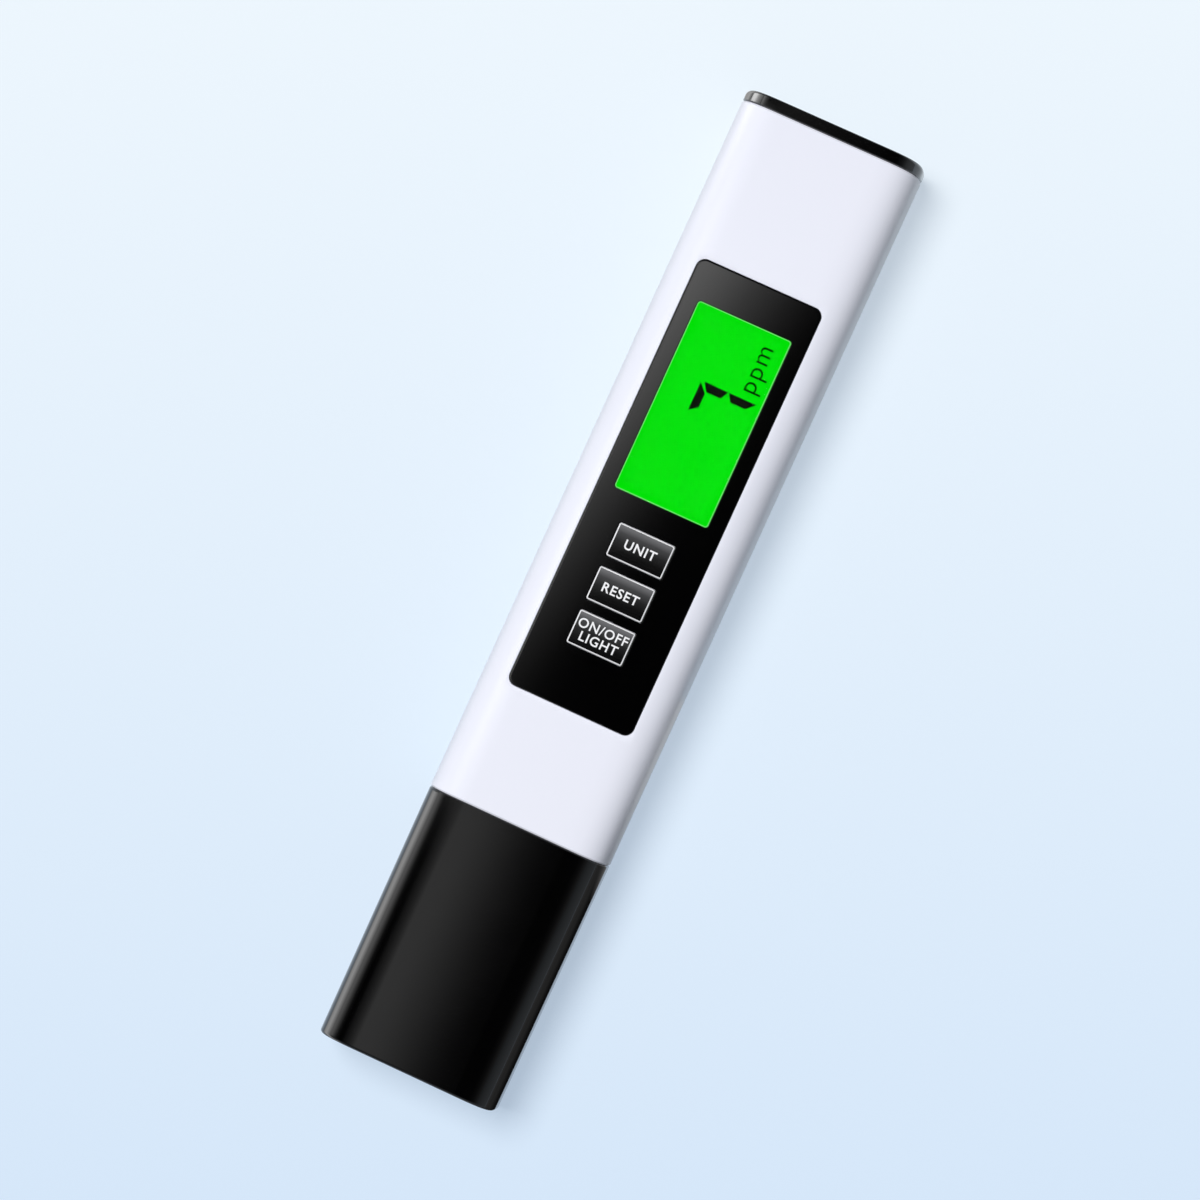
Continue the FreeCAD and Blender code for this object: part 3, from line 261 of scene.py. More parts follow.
def blend_colours(tree, amount, first, second):
    """A colour between two by an amount from 0 to 1. Each is a colour or a socket."""
    made = node(tree, "ShaderNodeMix", data_type="RGBA")
    tree.links.new(amount, made.inputs["Factor"])
    for socket, colour in ((made.inputs[6], first), (made.inputs[7], second)):
        if isinstance(colour, tuple):
            socket.default_value = (*colour, 1.0)
        else:
            tree.links.new(colour, socket)
    return made.outputs[2]


def finish(name, colour, other, roughness, patch=0.2, grain=4.0, depth=0.002, stretch=(1, 1, 1), **sockets):
    """A moulded or metal finish: two near colours and two roughnesses in soft patches, with a fine grain
    raised by depth in millimetres. Gives the material, its tree, its shader and the object coordinates."""
    material = bpy.data.materials.new(name)
    material.use_nodes = True
    tree = material.node_tree
    shader = tree.nodes["Principled BSDF"]
    place = node(tree, "ShaderNodeTexCoord").outputs["Object"]
    cloud = noise(tree, place, patch, 3.0)
    tree.links.new(blend_colours(tree, remap(tree, cloud, 0, 1), colour, other), shader.inputs["Base Color"])
    tree.links.new(remap(tree, cloud, *roughness), shader.inputs["Roughness"])
    bump = node(tree, "ShaderNodeBump")
    bump.inputs["Distance"].default_value = depth * MM
    bump.inputs["Strength"].default_value = 1.0
    tree.links.new(noise(tree, place, grain, 3.0, stretch), bump.inputs["Height"])
    tree.links.new(bump.outputs["Normal"], shader.inputs["Normal"])
    for socket, number in sockets.items():
        shader.inputs[socket.replace("_", " ")].default_value = number
    return material, tree, shader, place


def plain(*words, **more):
    """A finish's material alone."""
    return finish(*words, **more)[0]


def axes_of(tree, vector):
    """The three numbers of a vector, as sockets named X, Y and Z."""
    split = node(tree, "ShaderNodeSeparateXYZ")
    tree.links.new(vector, split.inputs["Vector"])
    return split.outputs


def ramp_along(tree, place, axis, start, stop):
    """0 to 1 between two places in millimetres on an axis."""
    return remap(tree, axes_of(tree, place)[axis], 0, 1, start * MM, stop * MM)


def srgb(*levels):
    """A colour from the eight-bit levels that a picture shows."""
    level = np.array(levels) / 255
    linear = np.where(level <= 0.04045, level / 12.92, ((level + 0.055) / 1.055) ** 2.4)
    return tuple(linear.tolist())


WHITE_SHELL = plain("white_shell", (0.848, 0.862, 0.955), (0.84, 0.855, 0.95), (0.28, 0.305), 0.06, 5.0,
                    0.0004)
WHITE_TRAY = plain("white_tray", (0.74, 0.75, 0.78), (0.70, 0.71, 0.75), (0.38, 0.48), 0.2, 6.0, 0.002)
BLACK_PANEL = plain("black_panel", (0.0004, 0.0004, 0.0005), (0.0006, 0.0006, 0.0007), (0.08, 0.1), 0.05, 6.0,
                    0.00002)
BLACK_CAP = plain("black_cap", (0.0003, 0.0003, 0.0004), (0.0006, 0.0006, 0.0007), (0.08, 0.11), 0.1, 5.0,
                  0.00005, Specular_IOR_Level=0.62)
BLACK_LID = plain("black_lid", (0.0006, 0.0006, 0.0007), (0.001, 0.001, 0.0011), (0.1, 0.13), 0.1, 5.0,
                  0.00005, Specular_IOR_Level=1.0)
BLACK_PROBE = plain("black_probe", (0.012, 0.012, 0.014), (0.018, 0.018, 0.02), (0.36, 0.46), 0.2, 6.0,
                    0.003)
RING_RUBBER = plain("ring_rubber", (0.02, 0.02, 0.021), (0.03, 0.03, 0.031), (0.6, 0.7), 0.5, 9.0, 0.004)
RESIN = plain("resin", (0.02, 0.022, 0.03), (0.03, 0.032, 0.042), (0.1, 0.26), 0.6, 1.2, 0.02)
PIN_METAL = plain("pin_metal", (0.46, 0.45, 0.43), (0.38, 0.37, 0.36), (0.28, 0.38), 0.5, 12.0, 0.002,
                  (1, 0.1, 1), Metallic=1.0)
STEEL = plain("steel", (0.62, 0.62, 0.62), (0.54, 0.54, 0.55), (0.28, 0.36), 0.4, 14.0, 0.0015,
              (1, 0.08, 1), Metallic=1.0)
LEAF_BRASS = plain("leaf_brass", (0.78, 0.66, 0.42), (0.70, 0.60, 0.40), (0.28, 0.38), 0.5, 14.0, 0.0015,
                   (1, 0.08, 1), Metallic=1.0)
BOARD_GREEN = plain("board_green", (0.012, 0.11, 0.045), (0.018, 0.16, 0.06), (0.28, 0.36), 0.7, 2.5, 0.006)
CHIP_BLACK = plain("chip_black", (0.015, 0.015, 0.016), (0.024, 0.024, 0.025), (0.5, 0.62), 0.8, 16.0, 0.004)
SMALL_PART_TAN = plain("small_part_tan", (0.36, 0.25, 0.15), (0.5, 0.47, 0.42), (0.35, 0.5), 1.1, 14.0,
                       0.003)
SWITCH_BLACK = plain("switch_black", (0.02, 0.02, 0.021), (0.03, 0.03, 0.031), (0.4, 0.5), 0.6, 10.0, 0.003)
PLUNGER_BROWN = plain("plunger_brown", (0.16, 0.075, 0.035), (0.2, 0.095, 0.045), (0.35, 0.45), 0.6, 10.0,
                      0.003)
WHITE_FRAME = plain("white_frame", (0.78, 0.79, 0.8), (0.72, 0.73, 0.75), (0.4, 0.5), 0.4, 8.0, 0.002)
CONTACT_RUBBER = plain("contact_rubber", (0.42, 0.34, 0.36), (0.12, 0.12, 0.12), (0.5, 0.62), 3.0, 10.0,
                       0.004)
THERMISTOR = plain("thermistor", (0.03, 0.028, 0.028), (0.06, 0.05, 0.05), (0.28, 0.4), 0.8, 8.0, 0.004)
INK_WHITE = plain("key_print", (0.88, 0.88, 0.9), (0.84, 0.84, 0.86), (0.4, 0.5), 1.0, 10.0, 0.001)
INK_DARK = plain("segment_ink", (0.0012, 0.0016, 0.0012), (0.002, 0.0026, 0.002), (0.5, 0.6), 1.0, 10.0,
                 0.0005, Specular_IOR_Level=0.0)


KEY_REFLECTION_GREYS = ((0.0, 4), (0.25, 12), (0.5, 34), (0.75, 66), (1.0, 118))  # painted reflection on a key's face: share of its depth, picture level


def key_painted_reflection(centre, depth):
    """A black key with a painted reflection: its colour pales from its near edge to its far edge, as the soft
    light mirrored in its face would.
    """
    material, tree, shader, place = finish(
        f"black_key_{centre:.0f}", (0.002, 0.002, 0.0024), (0.0026, 0.0026, 0.003), (0.2, 0.26), 0.4, 9.0,
        0.0001, Specular_IOR_Level=0.12)
    # Painted reflection: the base colour greys from the near edge to the far one, in place of a mirrored soft
    # light.
    across = ramp_along(tree, place, "Y", centre - depth / 2, centre + depth / 2)
    curve = node(tree, "ShaderNodeValToRGB")
    while len(curve.color_ramp.elements) < len(KEY_REFLECTION_GREYS):
        curve.color_ramp.elements.new(0.5)
    for element, (position, grey) in zip(curve.color_ramp.elements, KEY_REFLECTION_GREYS):
        element.position = position
        element.color = (*srgb(grey, grey, grey * 1.02), 1.0)
    tree.links.new(across, curve.inputs["Fac"])
    cloud = remap(tree, noise(tree, place, 0.5), 0.0, 0.05)
    colour = blend_colours(tree, cloud, curve.outputs["Color"], (0.02, 0.02, 0.02))
    tree.links.new(colour, shader.inputs["Base Color"])
    return material


def display_finish():
    """The lit glass: it glows an almost even green."""
    material, tree, shader, place = finish(
        "display_glass", (0.0, 0.01, 0.0), (0.0, 0.014, 0.0), (0.6, 0.7), 0.2, 6.0, 0.0002,
        Specular_IOR_Level=0.0, Emission_Strength=1.0)
    cloud = remap(tree, noise(tree, place, 0.08), 0, 1)
    green = blend_colours(tree, cloud, srgb(0, 225, 4), srgb(2, 224, 5))
    tree.links.new(green, shader.inputs["Emission Color"])
    return material


def light_finish(name, colour, other, strength):
    """A part of the backlight: milky, and glowing in soft patches."""
    material, tree, shader, place = finish(name, colour, other, (0.4, 0.5), 0.2, 6.0, 0.001,
                                           Emission_Strength=strength)
    glow = blend_colours(tree, remap(tree, noise(tree, place, 0.3), 0, 1), colour, other)
    tree.links.new(glow, shader.inputs["Emission Color"])
    return material


DISPLAY_GLASS = display_finish()
CLEAR_WINDOW = plain("clear_window", (0.97, 0.98, 0.97), (0.99, 0.99, 0.99), (0.0, 0.02), 0.1, 6.0, 0.00005,
                     Transmission_Weight=1.0, IOR=1.03)  # it hardly bends or mirrors the light
LIGHT_GUIDE = light_finish("light_guide", (0.5, 0.9, 0.5), (0.6, 0.95, 0.6), 0.3)
BACKLIGHT = light_finish("backlight", (0.1, 0.9, 0.15), (0.3, 1.0, 0.3), 0.6)
WINDOW_RIM = plain("window_rim", (0.13, 0.58, 0.13), (0.2, 0.62, 0.2), (0.3, 0.4), 0.5, 8.0, 0.0005)

# Sizes of the outer form, from the frame
sleeve_low, sleeve_high = node_box("housing_sleeve")
cap_low, cap_high = node_box("probe_cap")
lid_low, lid_high = node_box("battery_lid")
panel_low, panel_high = node_box("front_panel")
lens_low, lens_high = node_box("window_lens")
display_top = node_box("lcd_cell")[1][2]
BODY_WIDTH = sleeve_high[0] - sleeve_low[0]
BODY_DEPTH = sleeve_high[2] - sleeve_low[2]
CORNER_REACH, CORNER_POWER = 6.2, 2.7
SIDE_WALL, BACK_WALL, FRONT_WALL, BORE_CORNER = 1.7, 1.7, 2.2, 2.6
MIDDLE = BODY_DEPTH / 2
PARTING_BREAK = 0.2  # broken edge where sleeve, cap and lid meet
RECESS_EDGE = 0.06  # round at the mouth of the panel's recess
PANEL_CORNER, PANEL_FIT, PANEL_EDGE = 1.4, 0.06, 0.15
OPENING_EDGE = 0.05  # round at the openings of the panel
WINDOW_SIZE, WINDOW_CORNER, WINDOW_EDGE = (15.3, 30.5), 0.5, 0.08
WINDOW_LEDGE, WINDOW_FLANGE = 0.53, 0.5  # depth of its pocket in the panel, thickness of its flange
KEY_OPENING, KEY_POCKET, OPENING_CORNER, KEY_LEDGE = (9.2, 5.5), (11.88, 5.86), 0.35, 0.92
KEY_WIDTH, EAR_WIDTH, KEY_CORNER, KEY_RIM, KEY_ARCH = 8.96, 11.4, 0.29, 0.1, 0.12
EAR_LEVEL, EAR_THICKNESS = 0.47, 0.45  # the level is above the panel's back
STEM_HOLE = 3.8
BORDER_LIFT, BORDER_WIDTH, BORDER_DROP = 0.04, 0.17, 0.16  # of the printed line round a key
FILM_GAP, FILM_TOP = 0.002, 0.02  # levels of printed films above what carries them
DIGIT_ORIGIN = (-2.55, 29.95)
KEYS = {"power_key": "power_button", "reset_key": "reset_button", "unit_key": "unit_button"}


def make_sleeve():
    """The white sleeve: an outside and a bore whose fronts are opened for the panel, the panel's recess with
    holes for the display and the stems, and the board's rails."""
    recess_level, ceiling = panel_low[2], BODY_DEPTH - FRONT_WALL
    tube, front, back = sleeve_tube(ceiling)
    recess = plan_loop(panel_low, panel_high, PANEL_CORNER + PANEL_FIT, 2 * PANEL_FIT)
    mouth = rings_of(recess, [(RECESS_EDGE, 0)])[0, :, :2]
    surfaces = [tube, plate(front, [mouth], shell_height), recess_wall(recess, recess_level)]
    holes = [rounded_loop(STEM_HOLE, STEM_HOLE, STEM_HOLE / 2, key_sizes(key)[0], hold=0.0) for key in KEYS]
    holes.append(window_loop(1.0))
    inner = [hole[0] for hole in holes]
    surfaces.append(plate(recess[0], inner, recess_level))
    surfaces.append(plate(back, inner, ceiling, up=False))
    surfaces += [skin(rings_of(hole, [(0.0, recess_level), (0.0, ceiling)])) for hole in holes]
    surfaces += rails()
    return piece("white_sleeve", surfaces, WHITE_SHELL, "meter", ["housing_sleeve"])


def sleeve_tube(ceiling):
    """The body's and the bore's sections carried from end to end in one ring-shaped surface. Gives it, and
    the outlines of the openings in its outside and in its bore, in the plan view."""
    start, end = sleeve_low[1], sleeve_high[1]
    outer = body_loop()
    bore = rounded_loop(BODY_WIDTH - 2 * SIDE_WALL, BODY_DEPTH - BACK_WALL - FRONT_WALL, BORE_CORNER,
                        (0, (BACK_WALL + ceiling) / 2), steps=CORNER_STEPS + 4)
    zone = (panel_low[1] - 1.0, panel_high[1] + 1.0)
    skin_rows = [(-PARTING_BREAK, start), (0.0, start + PARTING_BREAK), (0.0, start + 3 * PARTING_BREAK),
                 (0.0, zone[0]), (0.0, zone[1]),
                 (0.0, end - 3 * PARTING_BREAK), (0.0, end - PARTING_BREAK), (-PARTING_BREAK, end)]
    bore_rows = [(0.0, end), (0.0, zone[1]), (0.0, zone[0]), (0.0, start)]
    rings = np.concatenate((rings_of(outer, skin_rows), rings_of(bore, bore_rows)))
    keep = np.ones(rings.shape[:2], bool)
    panel_half = (panel_high[0] - panel_low[0]) / 2 + 0.2
    bore_flat = BODY_WIDTH / 2 - SIDE_WALL - BORE_CORNER
    openings = []
    for row, loop, reach in ((3, outer, panel_half), (len(skin_rows) + 1, bore, bore_flat)):
        first, last = front_span(loop[0], reach)
        keep[row, first:last] = False
        openings.append(opened_rectangle(loop[0][first:last + 1, 0], *zone))
    return skin(rings, "y", closed_rows=True, keep=keep), *openings


def recess_wall(recess, level):
    """The wall of the panel's recess, from its slightly rounded mouth in the shell down to its floor."""
    edge = RECESS_EDGE
    wall = rings_of(recess, [(edge, 0.0), (edge * 0.3, -edge * 0.3), (0.0, -edge), (0.0, 0.0)])
    wall[:3, :, 2] += shell_height(wall[:3, :, 0])
    wall[3, :, 2] = level
    return skin(wall)


def front_span(points, reach):
    """The section's first and last points across the front, no nearer to the middle than reach."""
    quarter = len(points) // 4
    right = np.flatnonzero(points[:quarter, 0] >= reach - 1e-6)[-1]
    left = quarter + np.flatnonzero(points[quarter:2 * quarter, 0] <= 1e-6 - reach)[0]
    return right, left


def opened_rectangle(x, near, far):
    """The rectangle that opened quads leave, in the plan view, with the section's own points on its ends."""
    return np.concatenate((np.column_stack((x, np.full(len(x), far))),
                           np.column_stack((x[::-1], np.full(len(x), near)))))


def rails():
    """The four rails that hold the board: plain bars with their roots in the wall."""
    board_low, board_high = node_box("main_board")
    wall = BODY_WIDTH / 2 - SIDE_WALL
    bars = []
    for level in (board_low[2] - 0.45, board_high[2] + 0.45):
        for side in (-1, 1):
            loop = rounded_loop(1.65, 0.7, 0.12, (side * (wall + 0.025), level), hold=0.05, steps=3)
            bars.append(skin(rings_of(loop, [(0.0, board_low[1] + 1), (0.0, board_high[1] - 1)]), "y",
                             start=True, end=True))
    return bars


def plan_loop(low, high, corner, grow=0.0):
    """The rounded rectangle that a node's box has in the plan view, made wider and longer by grow."""
    return rounded_loop(high[0] - low[0] + grow, high[1] - low[1] + grow, corner, (0, (low[1] + high[1]) / 2))


def window_loop(grow):
    """The window's opening in the panel, made wider and longer by grow."""
    centre = (0, (lens_low[1] + lens_high[1]) / 2)
    return rounded_loop(WINDOW_SIZE[0] + grow, WINDOW_SIZE[1] + grow, WINDOW_CORNER, centre)


def opening_surfaces(opening, pocket, ledge):
    """An opening in the panel: a wall with a small round at the top, a ledge, and the pocket behind it.
    Gives its surfaces and its outline at the top."""
    low, top = panel_low[2], panel_high[2]
    rounding = bend((OPENING_EDGE, top - OPENING_EDGE), OPENING_EDGE, 90, 180, 3)
    wall = rings_of(opening, [(2 * OPENING_EDGE, top)] + rounding + [(0.0, low + ledge)])
    surfaces = [skin(wall), plate(pocket[0], [opening[0]], low + ledge, up=False),
                skin(rings_of(pocket, [(0.0, low + ledge), (0.0, low)]))]
    return surfaces, wall[0, :, :2]


def make_panel():
    """The glossy panel: its outline carried up to a small rounded edge, flat faces between that and its
    openings, and pockets behind for the keys' ears and the window's flange."""
    low, top = panel_low[2], panel_high[2]
    outline = plan_loop(panel_low, panel_high, PANEL_CORNER)
    side = rings_of(outline, [(0.0, low), (0.0, top - 2 * PANEL_EDGE)]
                    + bend((-PANEL_EDGE, top - PANEL_EDGE), PANEL_EDGE, 0, 90) + [(-2 * PANEL_EDGE, top)])
    cuts = []
    for key in KEYS:
        centre = key_sizes(key)[0]
        cuts.append((rounded_loop(*KEY_OPENING, OPENING_CORNER, centre),
                     rounded_loop(*KEY_POCKET, OPENING_CORNER, centre), KEY_LEDGE))
    cuts.append((window_loop(0.0), plan_loop(lens_low, lens_high, WINDOW_CORNER, PANEL_FIT), WINDOW_LEDGE))
    surfaces, top_holes = [skin(side)], []
    for opening, pocket, ledge in cuts:
        parts, hole = opening_surfaces(opening, pocket, ledge)
        surfaces += parts
        top_holes.append(hole)
    surfaces.append(plate(side[-1, :, :2], top_holes, top))
    surfaces.append(plate(outline[0], [pocket[0] for _, pocket, _ in cuts], low, up=False))
    return piece("gloss_panel", surfaces, BLACK_PANEL, "meter", ["front_panel"])


def make_window():
    """The clear window: a flange, and a boss with a small rounded edge that fills the panel's opening."""
    flange, boss = plan_loop(lens_low, lens_high, WINDOW_CORNER), window_loop(-PANEL_FIT)
    low, top, edge = lens_low[2], lens_high[2], WINDOW_EDGE
    step = low + WINDOW_FLANGE
    rings = np.concatenate((rings_of(flange, [(0.0, low), (0.0, step)]),
                            rings_of(boss, [(0.0, step)] + bend((-edge, top - edge), edge, 0, 90)
                                     + [(-0.2, top)])))
    return piece("clear_window", [skin(rings, start=True, end=True)], CLEAR_WINDOW, "meter",
                 ["window_lens"])


def key_sizes(key):
    """A key's middle, the width and depth of its cap, and the level of its crown."""
    low, high = node_box(key)
    return (0.0, (low[1] + high[1]) / 2), (KEY_WIDTH, high[1] - low[1]), high[2]


def key_top(y, centre, depth, top):
    """The height of a key's crown: a low arch from its near edge to its far one."""
    return top - KEY_ARCH * (2 * (y - centre) / depth) ** 2


def make_key(key, body):
    """A key: ears, an upright side, a small rounded rim, and an arched face that shrinks to its middle."""
    centre, (width, depth), top = key_sizes(key)
    low = panel_low[2] + EAR_LEVEL
    ear_top = low + EAR_THICKNESS
    ears, cap = (rounded_loop(across, depth, KEY_CORNER, centre, hold=0.15) for across in (EAR_WIDTH, width))
    lower = np.concatenate((rings_of(ears, [(0.0, low), (0.0, ear_top)]),
                            rings_of(cap, [(0.0, ear_top), (0.0, top - 0.5)])))
    rim = bend((-KEY_RIM, top - KEY_RIM), KEY_RIM, 0, 90)
    edge = rings_of(cap, [(outward, level - top) for outward, level in rim])
    spread = np.linspace(0.97, 0.0, 12)[:, None, None]
    last = edge[-1:, :, :2] - centre
    face = np.concatenate((spread * last + centre, np.zeros((len(spread), last.shape[1], 1))), -1)
    upper = np.concatenate((edge, face))
    upper[..., 2] += key_top(upper[..., 1], centre[1], depth, top)
    surfaces = [skin(np.concatenate((lower, upper)), start=True)]
    surfaces += stem_blades(centre, node_box(key)[0][2], low)
    # The key's colour carries a painted reflection that pales towards its far edge.
    piece(f"{key}_cap", surfaces, key_painted_reflection(centre[1], depth), body, [key])


def stem_blades(centre, foot, root):
    """A key's stem: two crossed blades from its foot into its underside."""
    blades = []
    for size in ((3.0, 0.9), (0.9, 3.0)):
        blade = rounded_loop(*size, 0.1, centre, hold=0.05, steps=3)
        blades.append(skin(rings_of(blade, [(-0.1, foot), (0.0, foot + 0.1), (0.0, root + 0.2)]),
                           start=True, end=True))
    return blades


def make_key_border(key, body):
    """The pale printed line round a key: a thin band over its rounded rim, on its arch."""
    centre, (width, depth), top = key_sizes(key)
    cap = rounded_loop(width, depth, KEY_CORNER, centre, hold=0.15)
    rim, lift, sunk = KEY_RIM, BORDER_LIFT, 0.03
    drop, band = BORDER_DROP, BORDER_WIDTH
    over = [(lift, -drop)] + bend((-rim, -rim), rim + lift, 0, 90) + [(-band, lift)]
    under = [(-band, -sunk), (-rim, -sunk), (-sunk, -rim), (-sunk, -drop)]
    rings = rings_of(cap, over + under)
    rings[..., 2] += key_top(rings[..., 1], centre[1], depth, top)
    piece(f"{key}_border", [skin(rings, closed_rows=True)], INK_WHITE, body)


def words(name, lines, body, material, slot, size, centre, turn, height, thick=0.02, weight=0.0, gap=0.9,
          spread=1.0):
    """Words as thin solid letters. They are set at the origin, turned, and laid at a height that may
    follow an arch."""
    text = bpy.data.curves.new(name, "FONT")
    text.body = "\n".join(lines)
    text.size = size * MM
    text.align_x, text.align_y = "CENTER", "CENTER"
    text.space_line, text.space_character = gap, spread
    text.offset = weight * MM
    text.extrude = thick * MM / 2
    text.resolution_u = 4
    maker = bpy.data.objects.new(name + "_maker", text)
    mesh = bpy.data.meshes.new_from_object(maker)
    bpy.data.objects.remove(maker)
    points = np.empty(len(mesh.vertices) * 3)
    mesh.vertices.foreach_get("co", points)
    points = points.reshape(-1, 3) / MM
    middle = (points[:, :2].max(0) + points[:, :2].min(0)) / 2
    flat = points[:, :2] - middle
    c, s = math.cos(turn), math.sin(turn)
    flat = flat @ np.array([(c, s), (-s, c)]) + centre
    level = height(flat[:, 1]) if callable(height) else height
    done = np.column_stack((flat, points[:, 2] + thick / 2 + level)) * MM
    mesh.vertices.foreach_set("co", done.reshape(-1))
    merge(mesh)
    return put(name, mesh, material, body)


def make_key_words(key, body, lines, size, gap, weight):
    """A key's word in its middle, on the arch."""
    centre, (_, depth), top = key_sizes(key)
    words(f"{key}_words", lines, body, INK_WHITE, "black_key", size, centre, 0.0,
          lambda y: key_top(y, centre[1], depth, top) - 0.005, weight=weight, gap=gap, spread=1.12)


def make_cap():
    """The pull-off cap: the body's section carried from the closed end, which tapers a little and has a
    small round, to the open mouth and back down its bore."""
    end, mouth = cap_low[1], cap_high[1]
    draft, end_round, wall, floor = 0.18, 0.5, 1.3, 1.5
    length = mouth - end
    stations = np.linspace(end + end_round, mouth - 3 * PARTING_BREAK, 9)
    taper = [(-draft * (mouth - y) / length, y) for y in stations]
    nose = bend((-draft - end_round, end + end_round), end_round, -90, 0, 8)
    outer_rows = ([(nose[0][0] - HOLD, end)] + nose + taper[1:]
                  + [(0.0, mouth - PARTING_BREAK), (-PARTING_BREAK, mouth)])
    bore_rows = [(0.15, mouth), (0.0, mouth - 0.15), (0.0, mouth - 0.6), (0.0, end + floor + 0.6),
                 (0.0, end + floor), (-HOLD, end + floor)]
    bore = rounded_loop(BODY_WIDTH - 2 * wall, BODY_DEPTH - 2 * wall, 3.2, (0, MIDDLE),
                        steps=CORNER_STEPS + 4)
    rings = np.concatenate((rings_of(body_loop(), outer_rows), rings_of(bore, bore_rows)))
    return piece("pull_off_cap", [skin(rings, "y", start=True, end=True)], BLACK_CAP, "cap",
                 ["probe_cap"])


def make_lid():
    """The battery lid: a plug with a groove for its seal, then the flange. Its end is rounded by a quarter
    circle, at full size on the sides and at a quarter of that on front and back."""
    foot, end, flange = lid_low[1], lid_high[1], sleeve_high[1]
    plug_level = (BACK_WALL + BODY_DEPTH - FRONT_WALL) / 2
    plug_play, lead_in, lid_round = 0.2, 0.3, 0.9
    width, depth = BODY_WIDTH - 2 * SIDE_WALL - plug_play, BODY_DEPTH - BACK_WALL - FRONT_WALL - plug_play
    plug = rounded_loop(width, depth, 2.5, (0, plug_level), steps=CORNER_STEPS + 4)
    groove, groove_depth = (72.9, 74.0), 0.85
    plug_rows = [(-lead_in - HOLD, foot), (-lead_in, foot), (0.0, foot + lead_in), (0.0, groove[0]),
                 (-groove_depth, groove[0]), (-groove_depth, groove[1]), (0.0, groove[1]), (0.0, flange)]
    outer, outward = body_loop()
    shoulder = rings_of((outer, outward), [(-PARTING_BREAK, flange), (0.0, flange + PARTING_BREAK)])
    rounding = rings_of((outer, outward), bend((-lid_round, end - lid_round), lid_round, 0, 90, 12)
                        + [(-lid_round - HOLD, end)])
    share = (0.25 + 0.75 * outward[:, 0] ** 2)[:, None]
    rounding = np.concatenate((outer + (rounding[..., :2] - outer) * share,
                               end + (rounding[..., 2:] - end) * share), -1)
    rings = np.concatenate((rings_of(plug, plug_rows), shoulder, rounding))
    return piece("end_lid", [skin(rings, "y", start=True, end=True)], BLACK_LID, "battery_drawer",
                 ["battery_lid"])


def make_ring(node_name, piece_name, body, corner):
    """A rubber ring: a round section carried along a rounded rectangle."""
    low, high = node_box(node_name)
    section = high[1] - low[1]
    loop = rounded_loop(high[0] - low[0] - section, high[2] - low[2] - section, corner,
                        (0, (low[2] + high[2]) / 2), steps=8)
    profile = bend((0.0, (low[1] + high[1]) / 2), section / 2, -180, 150, 11)
    return piece(piece_name, [skin(rings_of(loop, profile), "y", closed_rows=True)], RING_RUBBER, body,
                 [node_name], crease=60)


def make_copy(node_name, material, body, crease=30.0):
    """A hidden node's own mesh with its points merged, so that its curves shade smoothly."""
    mesh = frame["nodes"][node_name].data.copy()
    mesh.name = node_name + "_part"
    merge(mesh)
    return put(node_name + "_part", mesh, material, body, [node_name], crease)


def flatten(dome):
    """A snap dome gets a mesh of its own; its shape stays as it is."""
    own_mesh(dome)


def segment(outline):
    """One dark bar of a digit: a flat outline with a little thickness, just above the display's glass."""
    base, top = display_top + FILM_GAP, display_top + FILM_TOP
    ring = np.stack([np.column_stack((outline, np.full(len(outline), level))) for level in (base, top)])
    return skin(ring, start=True, end=True)


def make_digit():
    """The figure 7 as three bars of a seven-segment digit, read along the pen with its top to the left."""
    def at(s, t):
        """A place on the display from its distances along and across the photograph's pen."""
        return DIGIT_ORIGIN[0] + t, DIGIT_ORIGIN[1] + s
    bars = [
        [at(0.0, 0.0), at(4.57, 0.0), at(3.23, 1.29), at(0.99, 1.29)],
        [at(4.85, 0.5), at(4.8, 4.42), at(3.5, 3.72), at(3.5, 1.39)],
        [at(4.8, 4.52), at(4.8, 9.0), at(3.56, 7.74), at(3.56, 5.32)],
    ]
    surfaces = []
    for bar in bars:
        outline = np.array(bar)
        after = np.roll(outline, -1, axis=0)
        area = np.sum(outline[:, 0] * after[:, 1] - outline[:, 1] * after[:, 0])
        surfaces.append(segment(outline if area > 0 else outline[::-1]))
    piece("digit_bars", surfaces, INK_DARK, "meter")


def make_window_rim():
    """The thin pale green line round the window: a flat band just inside the panel's opening."""
    loop = window_loop(-PANEL_FIT)
    low, top = lens_high[2] + FILM_GAP, lens_high[2] + FILM_TOP
    rows = [(-0.02, low), (-0.02, top), (-0.14, top), (-0.14, low)]
    piece("window_rim", [skin(rings_of(loop, rows), closed_rows=True)], WINDOW_RIM, "meter")


# Camera, light and floor

PEN_LEAN = math.radians(24.612)  # the pen's turn in the view
CAMERA_PLACE, CAMERA_AIM, CAMERA_LENS = (70.15, -1.72, 781.28), (-3.18, -1.34, 7.5), 155.24


def make_camera():
    """The camera stands almost straight above the display side, turned so that the pen leans in the view."""
    lens = bpy.data.cameras.new("camera")
    lens.lens, lens.sensor_width, lens.sensor_fit = CAMERA_LENS, 36.0, "HORIZONTAL"
    lens.clip_start, lens.clip_end = 0.01, 20.0
    camera = bpy.data.objects.new("camera", lens)
    bpy.context.scene.collection.objects.link(camera)
    place = Vector(CAMERA_PLACE) * MM
    forward = (Vector(CAMERA_AIM) * MM - place).normalized()
    right = forward.cross(Vector((-math.sin(PEN_LEAN), math.cos(PEN_LEAN), 0))).normalized()
    up = right.cross(forward)
    camera.matrix_world = Matrix((
        (right.x, up.x, -forward.x, place.x), (right.y, up.y, -forward.y, place.y),
        (right.z, up.z, -forward.z, place.z), (0, 0, 0, 1)))
    bpy.context.scene.camera = camera


